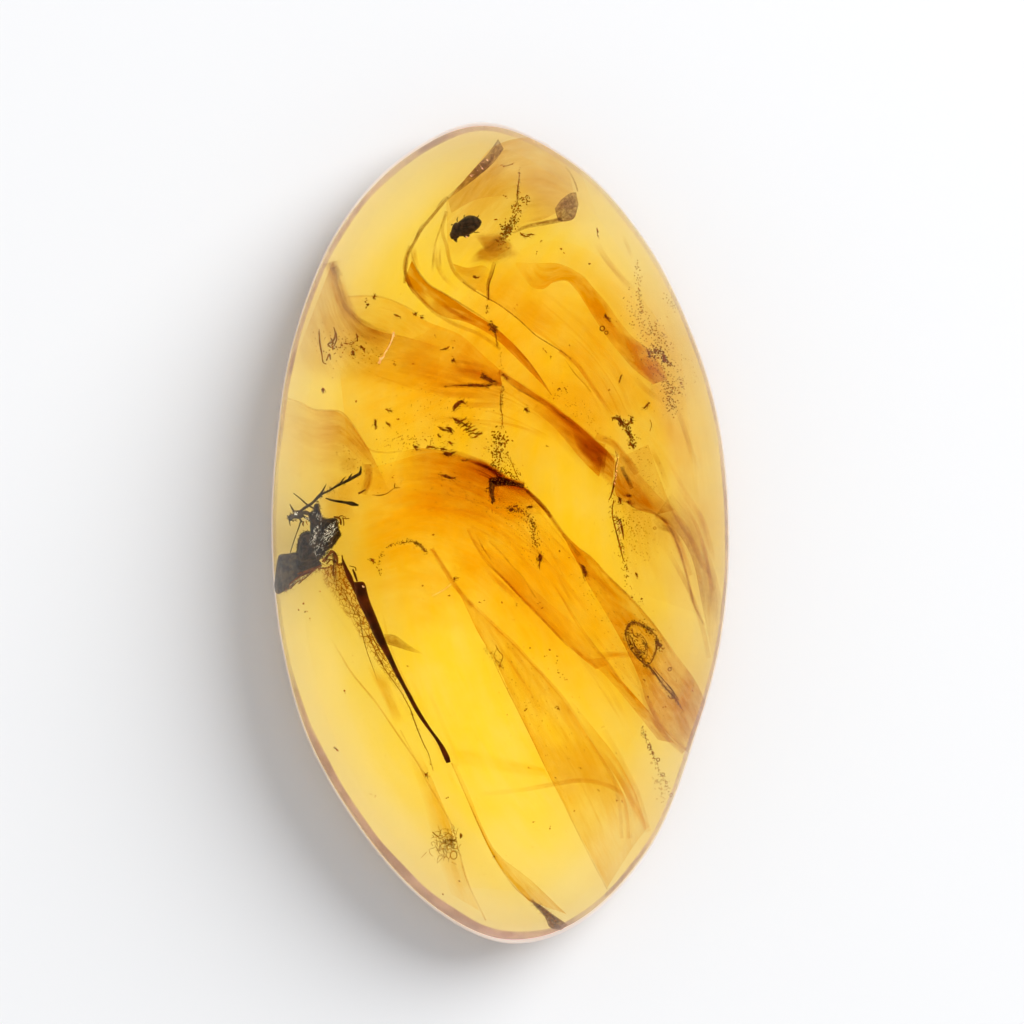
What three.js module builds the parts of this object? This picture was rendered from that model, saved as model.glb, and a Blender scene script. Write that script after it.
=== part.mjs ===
// A polished piece of clear amber with an insect sealed in it.
//
// Amber is fossil resin: it hardened as one lump, and this lump was ground and polished into a
// flattened pebble. So the part is one solid. Units are millimetres, +Z is up, the long axis
// lies along Y, and the origin is the middle of the flat base that the stone rests on.

import * as THREE from 'three';
import { mergeVertices } from 'three/addons/utils/BufferGeometryUtils.js';

// Driving dimensions

const STONE_HEIGHT = 10;        // from the flat base to the top of the dome
const GIRDLE_HEIGHT = 2.6;      // where the stone is widest
const BASE_SHARE = 0.88;        // size of the flat base, as a share of the girdle's outline
const CROWN_ROUNDNESS = 2.5;    // 2 is an ellipse; more makes a flatter top and steeper sides
const APEX = [0.6, 1.2];        // the top of the dome lies a little off the middle

// The girdle, seen from above: an egg-like oval, 50 mm long and 28 mm wide, drawn anticlockwise
// from the middle of its right side.
const GIRDLE_POINTS = [
  [13.95, 0.0], [13.35, 6.6], [11.6, 12.4], [8.75, 17.95], [4.6, 22.5],
  [-0.9, 25.0], [-5.9, 22.95], [-10.0, 18.35], [-12.6, 11.85], [-13.65, 5.6],
  [-13.95, -0.6], [-13.3, -7.0], [-11.45, -13.2], [-7.65, -19.25], [-3.5, -23.3],
  [0.8, -25.0], [5.3, -23.4], [9.4, -18.7], [12.0, -12.0], [13.5, -6.2],
];

// How finely the faceted solid is cut

const SIDES = 100;
const EDGE_RINGS = 6;
const CROWN_RINGS = 18;

// The girdle as a smooth closed curve through its points, sampled evenly by parameter.
function girdleOutline() {
  const points = GIRDLE_POINTS.map(([x, y]) => new THREE.Vector3(x, y, 0));
  const curve = new THREE.CatmullRomCurve3(points, true, 'catmullrom', 0.5);
  return curve.getPoints(SIDES).slice(0, SIDES);
}

// The stone's profile from the rim of the flat base, out round the lower edge to the girdle, and
// up over the crown. Each entry gives the ring's share of the girdle's outline and its height.
function profile() {
  const rings = [];
  for (let i = 0; i < EDGE_RINGS; i += 1) {
    const turn = (Math.PI / 2) * (i / EDGE_RINGS);
    const share = BASE_SHARE + (1 - BASE_SHARE) * Math.sin(turn);
    rings.push({ share, height: GIRDLE_HEIGHT * (1 - Math.cos(turn)) });
  }
  for (let i = 0; i < CROWN_RINGS; i += 1) {
    const turn = (Math.PI / 2) * (i / CROWN_RINGS);
    const share = Math.cos(turn) ** (2 / CROWN_ROUNDNESS);
    const height = GIRDLE_HEIGHT + (STONE_HEIGHT - GIRDLE_HEIGHT) * Math.sin(turn);
    rings.push({ share, height });
  }
  return rings;
}

// The rings above the girdle drift towards the apex as they shrink, so the dome leans a little.
function ringPoint(point, { share, height }) {
  const lean = height > GIRDLE_HEIGHT ? 1 - share : 0;
  return [point.x * share + APEX[0] * lean, point.y * share + APEX[1] * lean, height];
}

// One closed skin: the flat base is a fan, the rings are joined by quads cut in two, and the top
// closes on the apex.
function stoneGeometry() {
  const outline = girdleOutline();
  const rings = profile();
  const positions = [0, 0, 0];
  for (const ring of rings) {
    for (const point of outline) {
      positions.push(...ringPoint(point, ring));
    }
  }
  positions.push(APEX[0], APEX[1], STONE_HEIGHT);

  const baseCentre = 0;
  const apex = positions.length / 3 - 1;
  const vertex = (ring, side) => 1 + ring * SIDES + (side % SIDES);
  const faces = [];
  for (let side = 0; side < SIDES; side += 1) {
    faces.push(baseCentre, vertex(0, side + 1), vertex(0, side));
    for (let ring = 0; ring < rings.length - 1; ring += 1) {
      faces.push(vertex(ring, side), vertex(ring, side + 1), vertex(ring + 1, side + 1));
      faces.push(vertex(ring, side), vertex(ring + 1, side + 1), vertex(ring + 1, side));
    }
    faces.push(vertex(rings.length - 1, side), vertex(rings.length - 1, side + 1), apex);
  }

  const geometry = new THREE.BufferGeometry();
  geometry.setAttribute('position', new THREE.Float32BufferAttribute(positions, 3));
  geometry.setIndex(faces);
  const skin = mergeVertices(geometry);
  skin.computeVertexNormals();
  return skin;
}

function amberStone() {
  const honey = new THREE.MeshStandardMaterial({ color: 0xe09a1c, roughness: 0.08, metalness: 0 });
  const stone = new THREE.Mesh(stoneGeometry(), honey);
  stone.name = 'amber_stone';
  return stone;
}

const part = new THREE.Group();
part.add(amberStone());

export default part;
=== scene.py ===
# %% [markdown]
# # An insect in amber
#
# Amber is tree resin that has turned to stone. This piece was ground and polished into a flat
# pebble, and everything it caught when it was sticky is still inside: a winged insect, a small
# beetle, bark dust, plant hairs, cracks, and the layers in which the resin ran down the bark.
#
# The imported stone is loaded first, because every other size and place is worked out from it.

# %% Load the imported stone
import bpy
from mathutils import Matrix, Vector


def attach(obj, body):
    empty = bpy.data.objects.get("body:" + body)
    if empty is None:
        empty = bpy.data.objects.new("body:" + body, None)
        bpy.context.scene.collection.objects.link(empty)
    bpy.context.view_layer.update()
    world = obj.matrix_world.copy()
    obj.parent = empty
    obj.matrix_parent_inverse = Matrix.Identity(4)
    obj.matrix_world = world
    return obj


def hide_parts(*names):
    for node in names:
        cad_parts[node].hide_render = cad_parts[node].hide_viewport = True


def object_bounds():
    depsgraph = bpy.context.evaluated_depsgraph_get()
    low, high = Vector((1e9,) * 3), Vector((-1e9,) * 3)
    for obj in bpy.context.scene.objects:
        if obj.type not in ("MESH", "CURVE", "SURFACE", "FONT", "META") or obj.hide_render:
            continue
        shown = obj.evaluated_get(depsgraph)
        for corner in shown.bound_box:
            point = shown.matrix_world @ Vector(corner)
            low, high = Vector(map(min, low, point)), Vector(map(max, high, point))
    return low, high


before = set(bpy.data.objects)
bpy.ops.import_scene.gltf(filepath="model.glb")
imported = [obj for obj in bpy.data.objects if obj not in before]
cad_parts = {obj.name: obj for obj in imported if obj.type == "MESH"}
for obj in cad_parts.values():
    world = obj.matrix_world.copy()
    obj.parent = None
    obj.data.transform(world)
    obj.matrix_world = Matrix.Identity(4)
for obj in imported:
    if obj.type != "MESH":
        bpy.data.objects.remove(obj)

cad_low, cad_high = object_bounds()
print("the stone measures, in mm:", [round(side * 1000, 1) for side in cad_high - cad_low])

# %% The tools used below
import math
from types import SimpleNamespace

import bpy
import numpy as np
from mathutils import Vector

MM = 0.001

# %% [markdown]
# ## The camera comes first
#
# The stone is looked at from straight above, through a long lens that hardly spreads its rays.
# The camera is made before anything else because a domed stone bends the view of what lies in
# it, and the places of the sealed things are worked out along the camera's own rays.

# %% The camera straight above the stone
GIRDLE_HEIGHT = 2.6 * MM
LENS = 200.0
SENSOR = 36.0
FRAME_WIDTH = 62.36 * MM
FRAME_CENTRE = np.array([0.70, 1.28]) * MM
EYE = np.array([*FRAME_CENTRE, GIRDLE_HEIGHT + FRAME_WIDTH * LENS / SENSOR])

camera = bpy.data.objects.new("camera", bpy.data.cameras.new("camera"))
bpy.context.collection.objects.link(camera)
camera.location = EYE
camera.data.lens = LENS
camera.data.sensor_width = SENSOR
camera.data.clip_start = 0.01
bpy.context.scene.camera = camera
print("the eye stands", round(EYE[2], 3), "m above the floor")

# %% [markdown]
# ## Two ways to make a surface
#
# Everything here is one of two kinds of grid. A `sheet` is an open grid of points, such as a
# layer in the resin. A `skin` is a closed one: rings of points stacked along a path or up a
# profile, with each end closed on a middle point, such as a leg, a beetle or the stone itself.
# Both are worked out as whole numpy arrays, and several can be joined into one mesh.

# %% Sheets, skins and how they are joined
def sheet(points, **marks):
    """Quads between neighbours in a grid of points, rows by columns; marks are values per point."""
    rows, columns = points.shape[:2]
    number = np.arange(rows * columns).reshape(rows, columns)
    quads = np.stack([number[:-1, :-1], number[:-1, 1:], number[1:, 1:], number[1:, :-1]], -1)
    marks = {name: np.broadcast_to(mark, (rows, columns)).ravel() for name, mark in marks.items()}
    return SimpleNamespace(points=points.reshape(-1, 3), quads=quads.reshape(-1, 4),
                           fans=np.zeros((0, 3), int), marks=marks)


def turned_out(points, quads, fans):
    """The faces as they are or, if the volume they hold comes out negative, all turned round."""
    corners = [points[quads[:, k]] for k in (0, 1, 2)] + [points[quads[:, k]] for k in (0, 2, 3)]
    held = sum(np.einsum("ij,ij->", a, np.cross(b, c)) for a, b, c in (corners[:3], corners[3:]))
    held += np.einsum("ij,ij->", points[fans[:, 0]],
                      np.cross(points[fans[:, 1]], points[fans[:, 2]]))
    return (quads, fans) if held >= 0 else (quads[:, ::-1], fans[:, ::-1])


def hoop(rings):
    """Quads that go round each ring of points and on from the last ring to the first."""
    count, sides = rings.shape[:2]
    number = np.arange(count * sides).reshape(count, sides)
    after, beyond = np.roll(number, -1, 1), np.roll(number, -1, 0)
    quads = np.stack([number, after, np.roll(beyond, -1, 1), beyond], -1).reshape(-1, 4)
    quads, fans = turned_out(rings.reshape(-1, 3), quads, np.zeros((0, 3), int))
    return SimpleNamespace(points=rings.reshape(-1, 3), quads=quads, fans=fans, marks={})


def joined(shapes):
    """Several shapes as one."""
    starts = np.cumsum([0] + [len(shape.points) for shape in shapes[:-1]])
    return SimpleNamespace(points=np.concatenate([shape.points for shape in shapes]),
                           quads=np.concatenate([s.quads + k for s, k in zip(shapes, starts)]),
                           fans=np.concatenate([s.fans + k for s, k in zip(shapes, starts)]),
                           marks={})


def skin(rings, first=None, last=None, **marks):
    """Quads round and between rings of points, and a fan from a middle point over each end."""
    count, sides = rings.shape[:2]
    first = rings[0].mean(0) if first is None else first
    last = rings[-1].mean(0) if last is None else last
    number = np.arange(count * sides).reshape(count, sides)
    after = np.roll(number, -1, 1)
    quads = np.stack([number[:-1], after[:-1], after[1:], number[1:]], -1).reshape(-1, 4)
    start, end = count * sides, count * sides + 1
    fans = np.concatenate([
        np.stack([np.full(sides, start), after[0], number[0]], -1),
        np.stack([number[-1], after[-1], np.full(sides, end)], -1),
    ])
    points = np.concatenate([rings.reshape(-1, 3), [first, last]])
    quads, fans = turned_out(points, quads, fans)
    spread = {}
    for name, mark in marks.items():
        grid = np.broadcast_to(mark, (count, sides))
        spread[name] = np.concatenate([grid.ravel(), [grid[0].mean(), grid[-1].mean()]])
    return SimpleNamespace(points=points, quads=quads, fans=fans, marks=spread)


def piece(name, shapes, finish, smooth=True):
    """One object, riding on the stone's body, from sheets and skins that share a finish."""
    shapes = [shapes] if isinstance(shapes, SimpleNamespace) else list(shapes)
    faces, start = [], 0
    for shape in shapes:
        faces += (shape.quads + start).tolist() + (shape.fans + start).tolist()
        start += len(shape.points)
    mesh = bpy.data.meshes.new(name)
    mesh.from_pydata(np.concatenate([shape.points for shape in shapes]).tolist(), [], faces)
    for mark in shapes[0].marks:
        layer = mesh.attributes.new(mark, "FLOAT", "POINT")
        layer.data.foreach_set("value", np.concatenate([s.marks[mark] for s in shapes]))
    mesh.polygons.foreach_set("use_smooth", np.full(len(mesh.polygons), smooth))
    mesh.materials.append(finish)
    made = bpy.data.objects.new(name, mesh)
    bpy.context.collection.objects.link(made)
    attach(made, "root")
    print(name, "has", len(mesh.polygons), "faces in", len(shapes), "shapes")
    return made


# %% [markdown]
# ## Curves through a few points
#
# Outlines, legs and the edges of the resin's layers are all smooth curves through a few given
# points. A Catmull-Rom curve passes through each of its points, which a Bezier or a B-spline
# doesn't, so a point says exactly where the edge goes.

# %% A smooth curve, open or closed
STEPS_PER_SPAN = 24


def smooth_curve(points, count, closed=False):
    """Between two points runs a cubic. Its slope at a point is half the step from the point
    before it to the point after it. The samples are then spaced evenly along the curve."""
    points = np.asarray(points, float)
    if closed:
        knots = np.concatenate([points[-1:], points, points[:2]])
    else:
        knots = np.concatenate([2 * points[:1] - points[1:2], points,
                                2 * points[-1:] - points[-2:-1]])
    spans = len(knots) - 3
    at = np.linspace(0, spans, STEPS_PER_SPAN * spans + 1)
    before = np.minimum(at.astype(int), spans - 1)
    t = (at - before)[:, None]
    a, b, c, d = (knots[before + k] for k in range(4))
    curve = 0.5 * (2 * b + (c - a) * t + (2 * a - 5 * b + 4 * c - d) * t**2
                   + (3 * b - a - 3 * c + d) * t**3)
    run = np.r_[0, np.cumsum(np.linalg.norm(np.diff(curve, axis=0), axis=1))]
    wanted = np.linspace(0, run[-1], count, endpoint=not closed)
    return np.stack([np.interp(wanted, run, side) for side in curve.T], -1)


# %% [markdown]
# ## The polished stone
#
# A lapidary grinds the lump flat underneath, rounds its lower edge and domes its top. So the
# surface is one profile carried round the girdle, which is the stone's widest outline: flat
# base, quarter-ellipse edge, and a crown that is a superellipse, flatter on top than a circle
# and steeper at its sides. The faceted solid has the same form, and this is its fine skin.

# %% The girdle and the profile
STONE_HEIGHT = cad_high.z - cad_low.z
BASE_SHARE = 0.88
CROWN_ROUNDNESS = 2.5
APEX = np.array([0.6, 1.2]) * MM
GIRDLE = MM * np.array([
    (13.95, 0.0), (13.35, 6.6), (11.6, 12.4), (8.75, 17.95), (4.6, 22.5),
    (-0.9, 25.0), (-5.9, 22.95), (-10.0, 18.35), (-12.6, 11.85), (-13.65, 5.6),
    (-13.95, -0.6), (-13.3, -7.0), (-11.45, -13.2), (-7.65, -19.25), (-3.5, -23.3),
    (0.8, -25.0), (5.3, -23.4), (9.4, -18.7), (12.0, -12.0), (13.5, -6.2),
])


def stone_profile(base_rings, edge_rings, crown_rings):
    """Each ring's share of the girdle's outline, and its height. The edge's share and height
    follow the sine and cosine of an angle. So do the crown's, with the cosine raised to
    2 / roundness: at 2 that is an ellipse, and above it a flatter top over steeper sides."""
    base = np.linspace(0.1, BASE_SHARE, base_rings, endpoint=False)
    edge = np.linspace(0, math.pi / 2, edge_rings, endpoint=False)
    crown = np.linspace(0, math.pi / 2, crown_rings, endpoint=False)
    share = np.r_[base, BASE_SHARE + (1 - BASE_SHARE) * np.sin(edge),
                  np.cos(crown) ** (2 / CROWN_ROUNDNESS)]
    height = np.r_[0 * base, GIRDLE_HEIGHT * (1 - np.cos(edge)),
                   GIRDLE_HEIGHT + (STONE_HEIGHT - GIRDLE_HEIGHT) * np.sin(crown)]
    return share, height


def stone_skin(sides=360):
    """The girdle's outline shrunk to each ring's share; above the girdle it drifts to the apex."""
    outline = smooth_curve(GIRDLE, sides, closed=True)
    share, height = stone_profile(8, 24, 110)
    lean = np.where(height > GIRDLE_HEIGHT, 1 - share, 0)
    flat = outline[None] * share[:, None, None] + APEX * lean[:, None, None]
    rings = np.dstack([flat, np.broadcast_to(height[:, None], flat.shape[:2])])
    return skin(rings, first=(0, 0, 0), last=(*APEX, STONE_HEIGHT))


# %% [markdown]
# ## Shader maths as plain expressions
#
# A `Wire` is the output of a shader node. Adding, multiplying or raising it writes the Math
# nodes, so a pattern reads like its formula. Every other node comes from `node`.

# %% A wire that arithmetic works on
class Wire:
    """The output socket of a node in one material's tree."""

    def __init__(self, tree, socket=None):
        self.tree, self.socket = tree, socket

    def node(self, kind, settings=None, sockets=None, output=0):
        """Adds a node of a kind, sets its settings, then fills its sockets with values or wires."""
        made = self.tree.nodes.new("ShaderNode" + kind)
        for name, value in (settings or {}).items():
            setattr(made, name, value)
        for name, value in (sockets or {}).items():
            if isinstance(value, Wire):
                self.tree.links.new(value.socket, made.inputs[name])
            else:
                made.inputs[name].default_value = value
        return Wire(self.tree, made.outputs[output])

    def maths(self, operation, *values, clamped=False):
        """One Math node over values or wires."""
        settings = {"operation": operation, "use_clamp": clamped}
        return self.node("Math", settings, dict(enumerate(values)))

    def __add__(self, other):
        return self.maths("ADD", self, other)

    def __sub__(self, other):
        return self.maths("SUBTRACT", self, other)

    def __rsub__(self, other):
        return self.maths("SUBTRACT", other, self)

    def __mul__(self, other):
        return self.maths("MULTIPLY", self, other)

    def __pow__(self, other):
        return self.maths("POWER", self, other)

    __radd__ = __add__
    __rmul__ = __mul__

    def held(self):
        """The value, held between 0 and 1."""
        return self.maths("ADD", self, 0.0, clamped=True)

    def ramp(self, low, high):
        """0 below low and 1 above high, with a smooth rise between them."""
        settings = {"interpolation_type": "SMOOTHSTEP"}
        return self.node("MapRange", settings, {"Value": self, "From Min": low, "From Max": high})


def blank(name):
    """A new material with only an output, and a wire to start its tree from."""
    made = bpy.data.materials.new(name)
    made.use_nodes = True
    made.node_tree.nodes.clear()
    made.node_tree.nodes.new("ShaderNodeOutputMaterial")
    return made, Wire(made.node_tree)


def finished(material, surface, volume=None):
    """Links a surface, and a volume if there is one, to the material's output."""
    output = material.node_tree.nodes["Material Output"]
    material.node_tree.links.new(surface.socket, output.inputs["Surface"])
    if volume:
        material.node_tree.links.new(volume.socket, output.inputs["Volume"])
    return material


# %% [markdown]
# ## Clear amber
#
# Amber bends light almost as glass does, with an index of 1.54. Its colour isn't on its surface
# but in its depth: light loses its blue at once, its green slowly and its red hardly at all. So
# the surface is colourless and a volume absorbs, which makes the thin rim pale and the middle
# deep yellow by itself.

# %% The amber's finish and the stone
AMBER_INDEX = 1.54


def clear_amber():
    """A polished clear surface over a volume that takes 1 - colour from the light, times the
    density, in each metre."""
    material, wire = blank("clear_amber")
    polished = wire.node("BsdfPrincipled", sockets={
        "Base Color": (1, 1, 1, 1), "Roughness": 0.0, "IOR": AMBER_INDEX,
        "Transmission Weight": 1.0,
    })
    resin = wire.node("VolumeAbsorption", sockets={
        "Color": (0.995, 0.88, 0.23, 1), "Density": 148.0,
    })
    return finished(material, polished, resin)


stone = piece("amber", stone_skin(), clear_amber())
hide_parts("amber_stone")

# %% [markdown]
# ## Seeing into a domed stone
#
# The crown bends every sight line, so a sealed thing isn't seen straight above where it lies.
# Each thing below is drawn as it looks from the camera, as points over the girdle's plane, and
# given a level inside the stone. `seen_at` follows the sight line through such a point down to
# the crown, bends it there by Snell's law, and walks on to the level. The drawing then shows
# where it should, and from the side everything lies at its own depth, as in the real stone.

# %% The crown's height, and the sight lines
OUTLINE = smooth_curve(GIRDLE, 720, closed=True)
OUTLINE_ANGLE = np.arctan2(OUTLINE[:, 1], OUTLINE[:, 0])
OUTLINE_REACH = np.hypot(OUTLINE[:, 0], OUTLINE[:, 1])
LEAST_COVER = 0.3 * MM


def crown_height(flat):
    """The ring a point lies on settles in six rounds: its distance from the leaning middle over
    the outline's reach that way is its share, and the share gives the height."""
    share = np.full(flat.shape[:-1], 0.5)
    for _ in range(6):
        arm = flat - APEX * (1 - share)[..., None]
        angle = np.arctan2(arm[..., 1], arm[..., 0])
        reach = np.interp(angle, OUTLINE_ANGLE, OUTLINE_REACH, period=2 * math.pi)
        share = np.minimum(np.hypot(arm[..., 0], arm[..., 1]) / reach, 0.999)
    return GIRDLE_HEIGHT + (STONE_HEIGHT - GIRDLE_HEIGHT) * np.sqrt(1 - share**CROWN_ROUNDNESS)


def unit(vectors):
    """The vectors, each divided by its length."""
    return vectors / np.linalg.norm(vectors, axis=-1, keepdims=True)


def seen_at(flat, level):
    """The place at a level, in mm, that is seen over flat points, also in mm. Where the crown is
    too low for the level, the place is just under the crown."""
    flat = np.asarray(flat, float) * MM
    level = np.broadcast_to(level, flat.shape[:-1]) * MM
    plane = np.full((*flat.shape[:-1], 1), GIRDLE_HEIGHT)
    toward = unit(np.concatenate([flat, plane], -1) - EYE)
    height = np.full(flat.shape[:-1], STONE_HEIGHT)
    for _ in range(8):
        at = EYE + toward * ((height - EYE[2]) / toward[..., 2])[..., None]
        height = crown_height(at[..., :2])
    step = 0.02 * MM
    slope = [(crown_height(at[..., :2] + side) - crown_height(at[..., :2] - side)) / (2 * step)
             for side in np.eye(2) * step]
    normal = unit(np.stack([-slope[0], -slope[1], np.ones_like(height)], -1))
    facing = -np.sum(toward * normal, -1, keepdims=True)
    ratio = 1 / AMBER_INDEX
    bent = ratio * toward + (ratio * facing - np.sqrt(1 - ratio**2 * (1 - facing**2))) * normal
    level = np.minimum(level, height - LEAST_COVER)
    return at + bent * ((level - height) / bent[..., 2])[..., None]


middle = seen_at([0.6, 1.2], 5.0)
edge = seen_at([12.5, 1.2], 2.0)
print("bending moves the middle by", round(abs(middle[0] / MM - 0.6), 2),
      "mm and a thing near the edge by", round(12.5 - edge[0] / MM, 2), "mm")

# %% [markdown]
# ## Layers in the resin
#
# The resin ran down the bark in thin flows, one over another, and each flow's skin had time to
# darken before the next covered it. In the stone these skins are curved sheets that tint what is
# seen through them, strongest along the edge where the flow ended. They could be painted on the
# volume, but a volume with a pattern is slow and noisy. So each is a real sheet of see-through
# tint, ruled between two curves, and the sheets cross and overlap as the real skins do.
#
# A sheet carries marks on its points: how strongly it tints, its hue, and how far along and
# across it a point lies, which the streaks follow. Hue -1 is gold, 0 honey, 1 russet, 2 smoke and
# 3 bark.

# %% A sheet of flow, and a thin seam
def eased(stops, at):
    """Runs through evenly spaced stops as `at` goes from 0 to 1, easing in and out of each."""
    stops = np.atleast_1d(np.asarray(stops, float))
    if len(stops) == 1:
        return np.full_like(at, stops[0])
    place = at * (len(stops) - 1)
    before = np.minimum(place.astype(int), len(stops) - 2)
    t = place - before
    t = t * t * (3 - 2 * t)
    return stops[before] * (1 - t) + stops[before + 1] * t


def ruled(left, right, level, cover, hue, along, dip):
    """Straight lines ruled between two curves at the same share of their lengths. The tint is
    `cover`, going across, times `along`, going from start to end."""
    rows, columns = left.shape[0], max(5, 4 * len(np.atleast_1d(cover)) + 1)
    u, v = np.linspace(0, 1, rows)[:, None], np.linspace(0, 1, columns)[None]
    flat = left[:, None] * (1 - v[..., None]) + right[:, None] * v[..., None]
    depth = eased(level, u) - dip * np.sin(math.pi * v)
    run = np.r_[0, np.cumsum(np.linalg.norm(np.diff(left, axis=0), axis=1))][:, None]
    width = np.linalg.norm(right - left, axis=1)[:, None]
    return sheet(seen_at(flat, depth), cover=eased(cover, v) * eased(along, u),
                 hue=eased(hue, u), run=run, side=v * width)


def flow(left, right, level, cover, hue, along=1, dip=0.6, rows=72):
    """A sheet between two smooth curves through given points."""
    return ruled(smooth_curve(left, rows), smooth_curve(right, rows), level, cover, hue, along, dip)


def seam(path, width, level, strength, hue, along=1, rows=60):
    """A thin band that lies evenly about a path: the edge of a flow, seen edge-on."""
    path = smooth_curve(path, rows)
    ahead = unit(np.gradient(path, axis=0))
    out = np.stack([-ahead[:, 1], ahead[:, 0]], -1) * width / 2
    return ruled(path + out, path - out, level, (0, strength, strength, 0), hue, along, 0)


def flow_lines(left, right, level, count, hue, seed, strength=0.45, width=0.1):
    """Faint seams between two curves, each at a share of the way across and over a stretch of
    the length that the seed picks: the fine grain of a flow."""
    random = np.random.default_rng(seed)
    samples = 120
    left, right = smooth_curve(left, samples), smooth_curve(right, samples)
    lines = []
    for _ in range(count):
        share, drift, wide = random.uniform(0, 1), random.normal(0, 0.08), random.uniform(1, 5)
        start = random.integers(0, 80)
        stop = min(samples - 1, start + random.integers(20, 70))
        share = np.linspace(share, share + drift, stop - start)[:, None]
        path = left[start:stop] * (1 - share) + right[start:stop] * share
        height = level + random.normal(0, 0.3)
        cover = 0.8 * strength * random.uniform(0.4, 1.3) / wide**0.5
        lines.append(seam(path[::4], width * wide, height, cover, hue, (0, 1, 0.8, 1, 0), 30))
    return lines


# %% The flow's finish
GOLD = (1.00, 0.94, 0.30, 1)
HONEY = (0.95, 0.69, 0.02, 1)
RUSSET = (0.67, 0.34, 0.00, 1)
SMOKE = (0.55, 0.42, 0.30, 1)
BARK = (0.24, 0.13, 0.14, 1)


def blended(wire, factor, first, second):
    """One colour turning into another as the factor goes from 0 to 1."""
    return wire.node("Mix", {"data_type": "RGBA"}, {0: factor, 6: first, 7: second}, output=2)


def mark(wire, name):
    """The value that a sheet carries on its points under a name."""
    return wire.node("Attribute", {"attribute_name": name}, output="Fac")


def noise(place, scale, detail):
    """Cloudy noise over a place, with its scale in patches to the unit of the place."""
    return place.node("TexNoise", sockets={"Vector": place, "Scale": scale, "Detail": detail})


def film(material, strength, tint):
    """A see-through film, clear where its strength is 0 and tinted where it is 1."""
    clear = strength.node("BsdfTransparent", sockets={"Color": (1, 1, 1, 1)})
    tinted = strength.node("BsdfTransparent", sockets={"Color": tint})
    mixed = strength.node("MixShader", sockets={0: strength, 1: clear, 2: tinted})
    return finished(material, mixed)


def flow_finish():
    """The film's strength is the cover times streaks, which are noise drawn out along the flow,
    finer streaks in the darker hues, and clouds. Smoke and bark are dust, so fine noise breaks
    them up. The tint runs through the five hues."""
    material, wire = blank("flow_layer")
    cover, hue, run, side = (mark(wire, name) for name in ("cover", "hue", "run", "side"))
    place = wire.node("TexCoord", output="Object")
    along = wire.node("CombineXYZ", sockets={0: run * 0.2, 1: side * 0.9, 2: hue * 5})
    combed = wire.node("CombineXYZ", sockets={0: run * 0.5, 1: side * 2.4, 2: hue * 3})
    streak, fine = noise(along, 1.0, 4.0), noise(combed, 1.6, 6.0)
    cloud, speck = noise(place, 420.0, 3.0), noise(place, 5200.0, 4.0)
    dusty = (hue - 1.3).held()
    patchy = 0.35 + 0.6 * streak.ramp(0.3, 0.7) + 0.5 * cloud.ramp(0.32, 0.66)
    patchy = patchy + 0.28 * (hue + 0.6).held() * fine.ramp(0.42, 0.62)
    strength = (cover * patchy * (1 - 0.3 * dusty * speck.ramp(0.62, 0.40))).held()
    tint = GOLD
    for reached, deeper in ((hue + 1, HONEY), (hue, RUSSET), (hue - 1, SMOKE), (hue - 2, BARK)):
        tint = blended(wire, reached.held(), tint, deeper)
    return film(material, strength, tint)


FLOW = flow_finish()

# %% [markdown]
# ## The broad washes of colour
#
# Some flows are so wide and soft that they only warm a region: orange across the middle, tan at
# the left, a golden shade to the right of the swirl. They lie low in the stone, under the rest.

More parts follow.
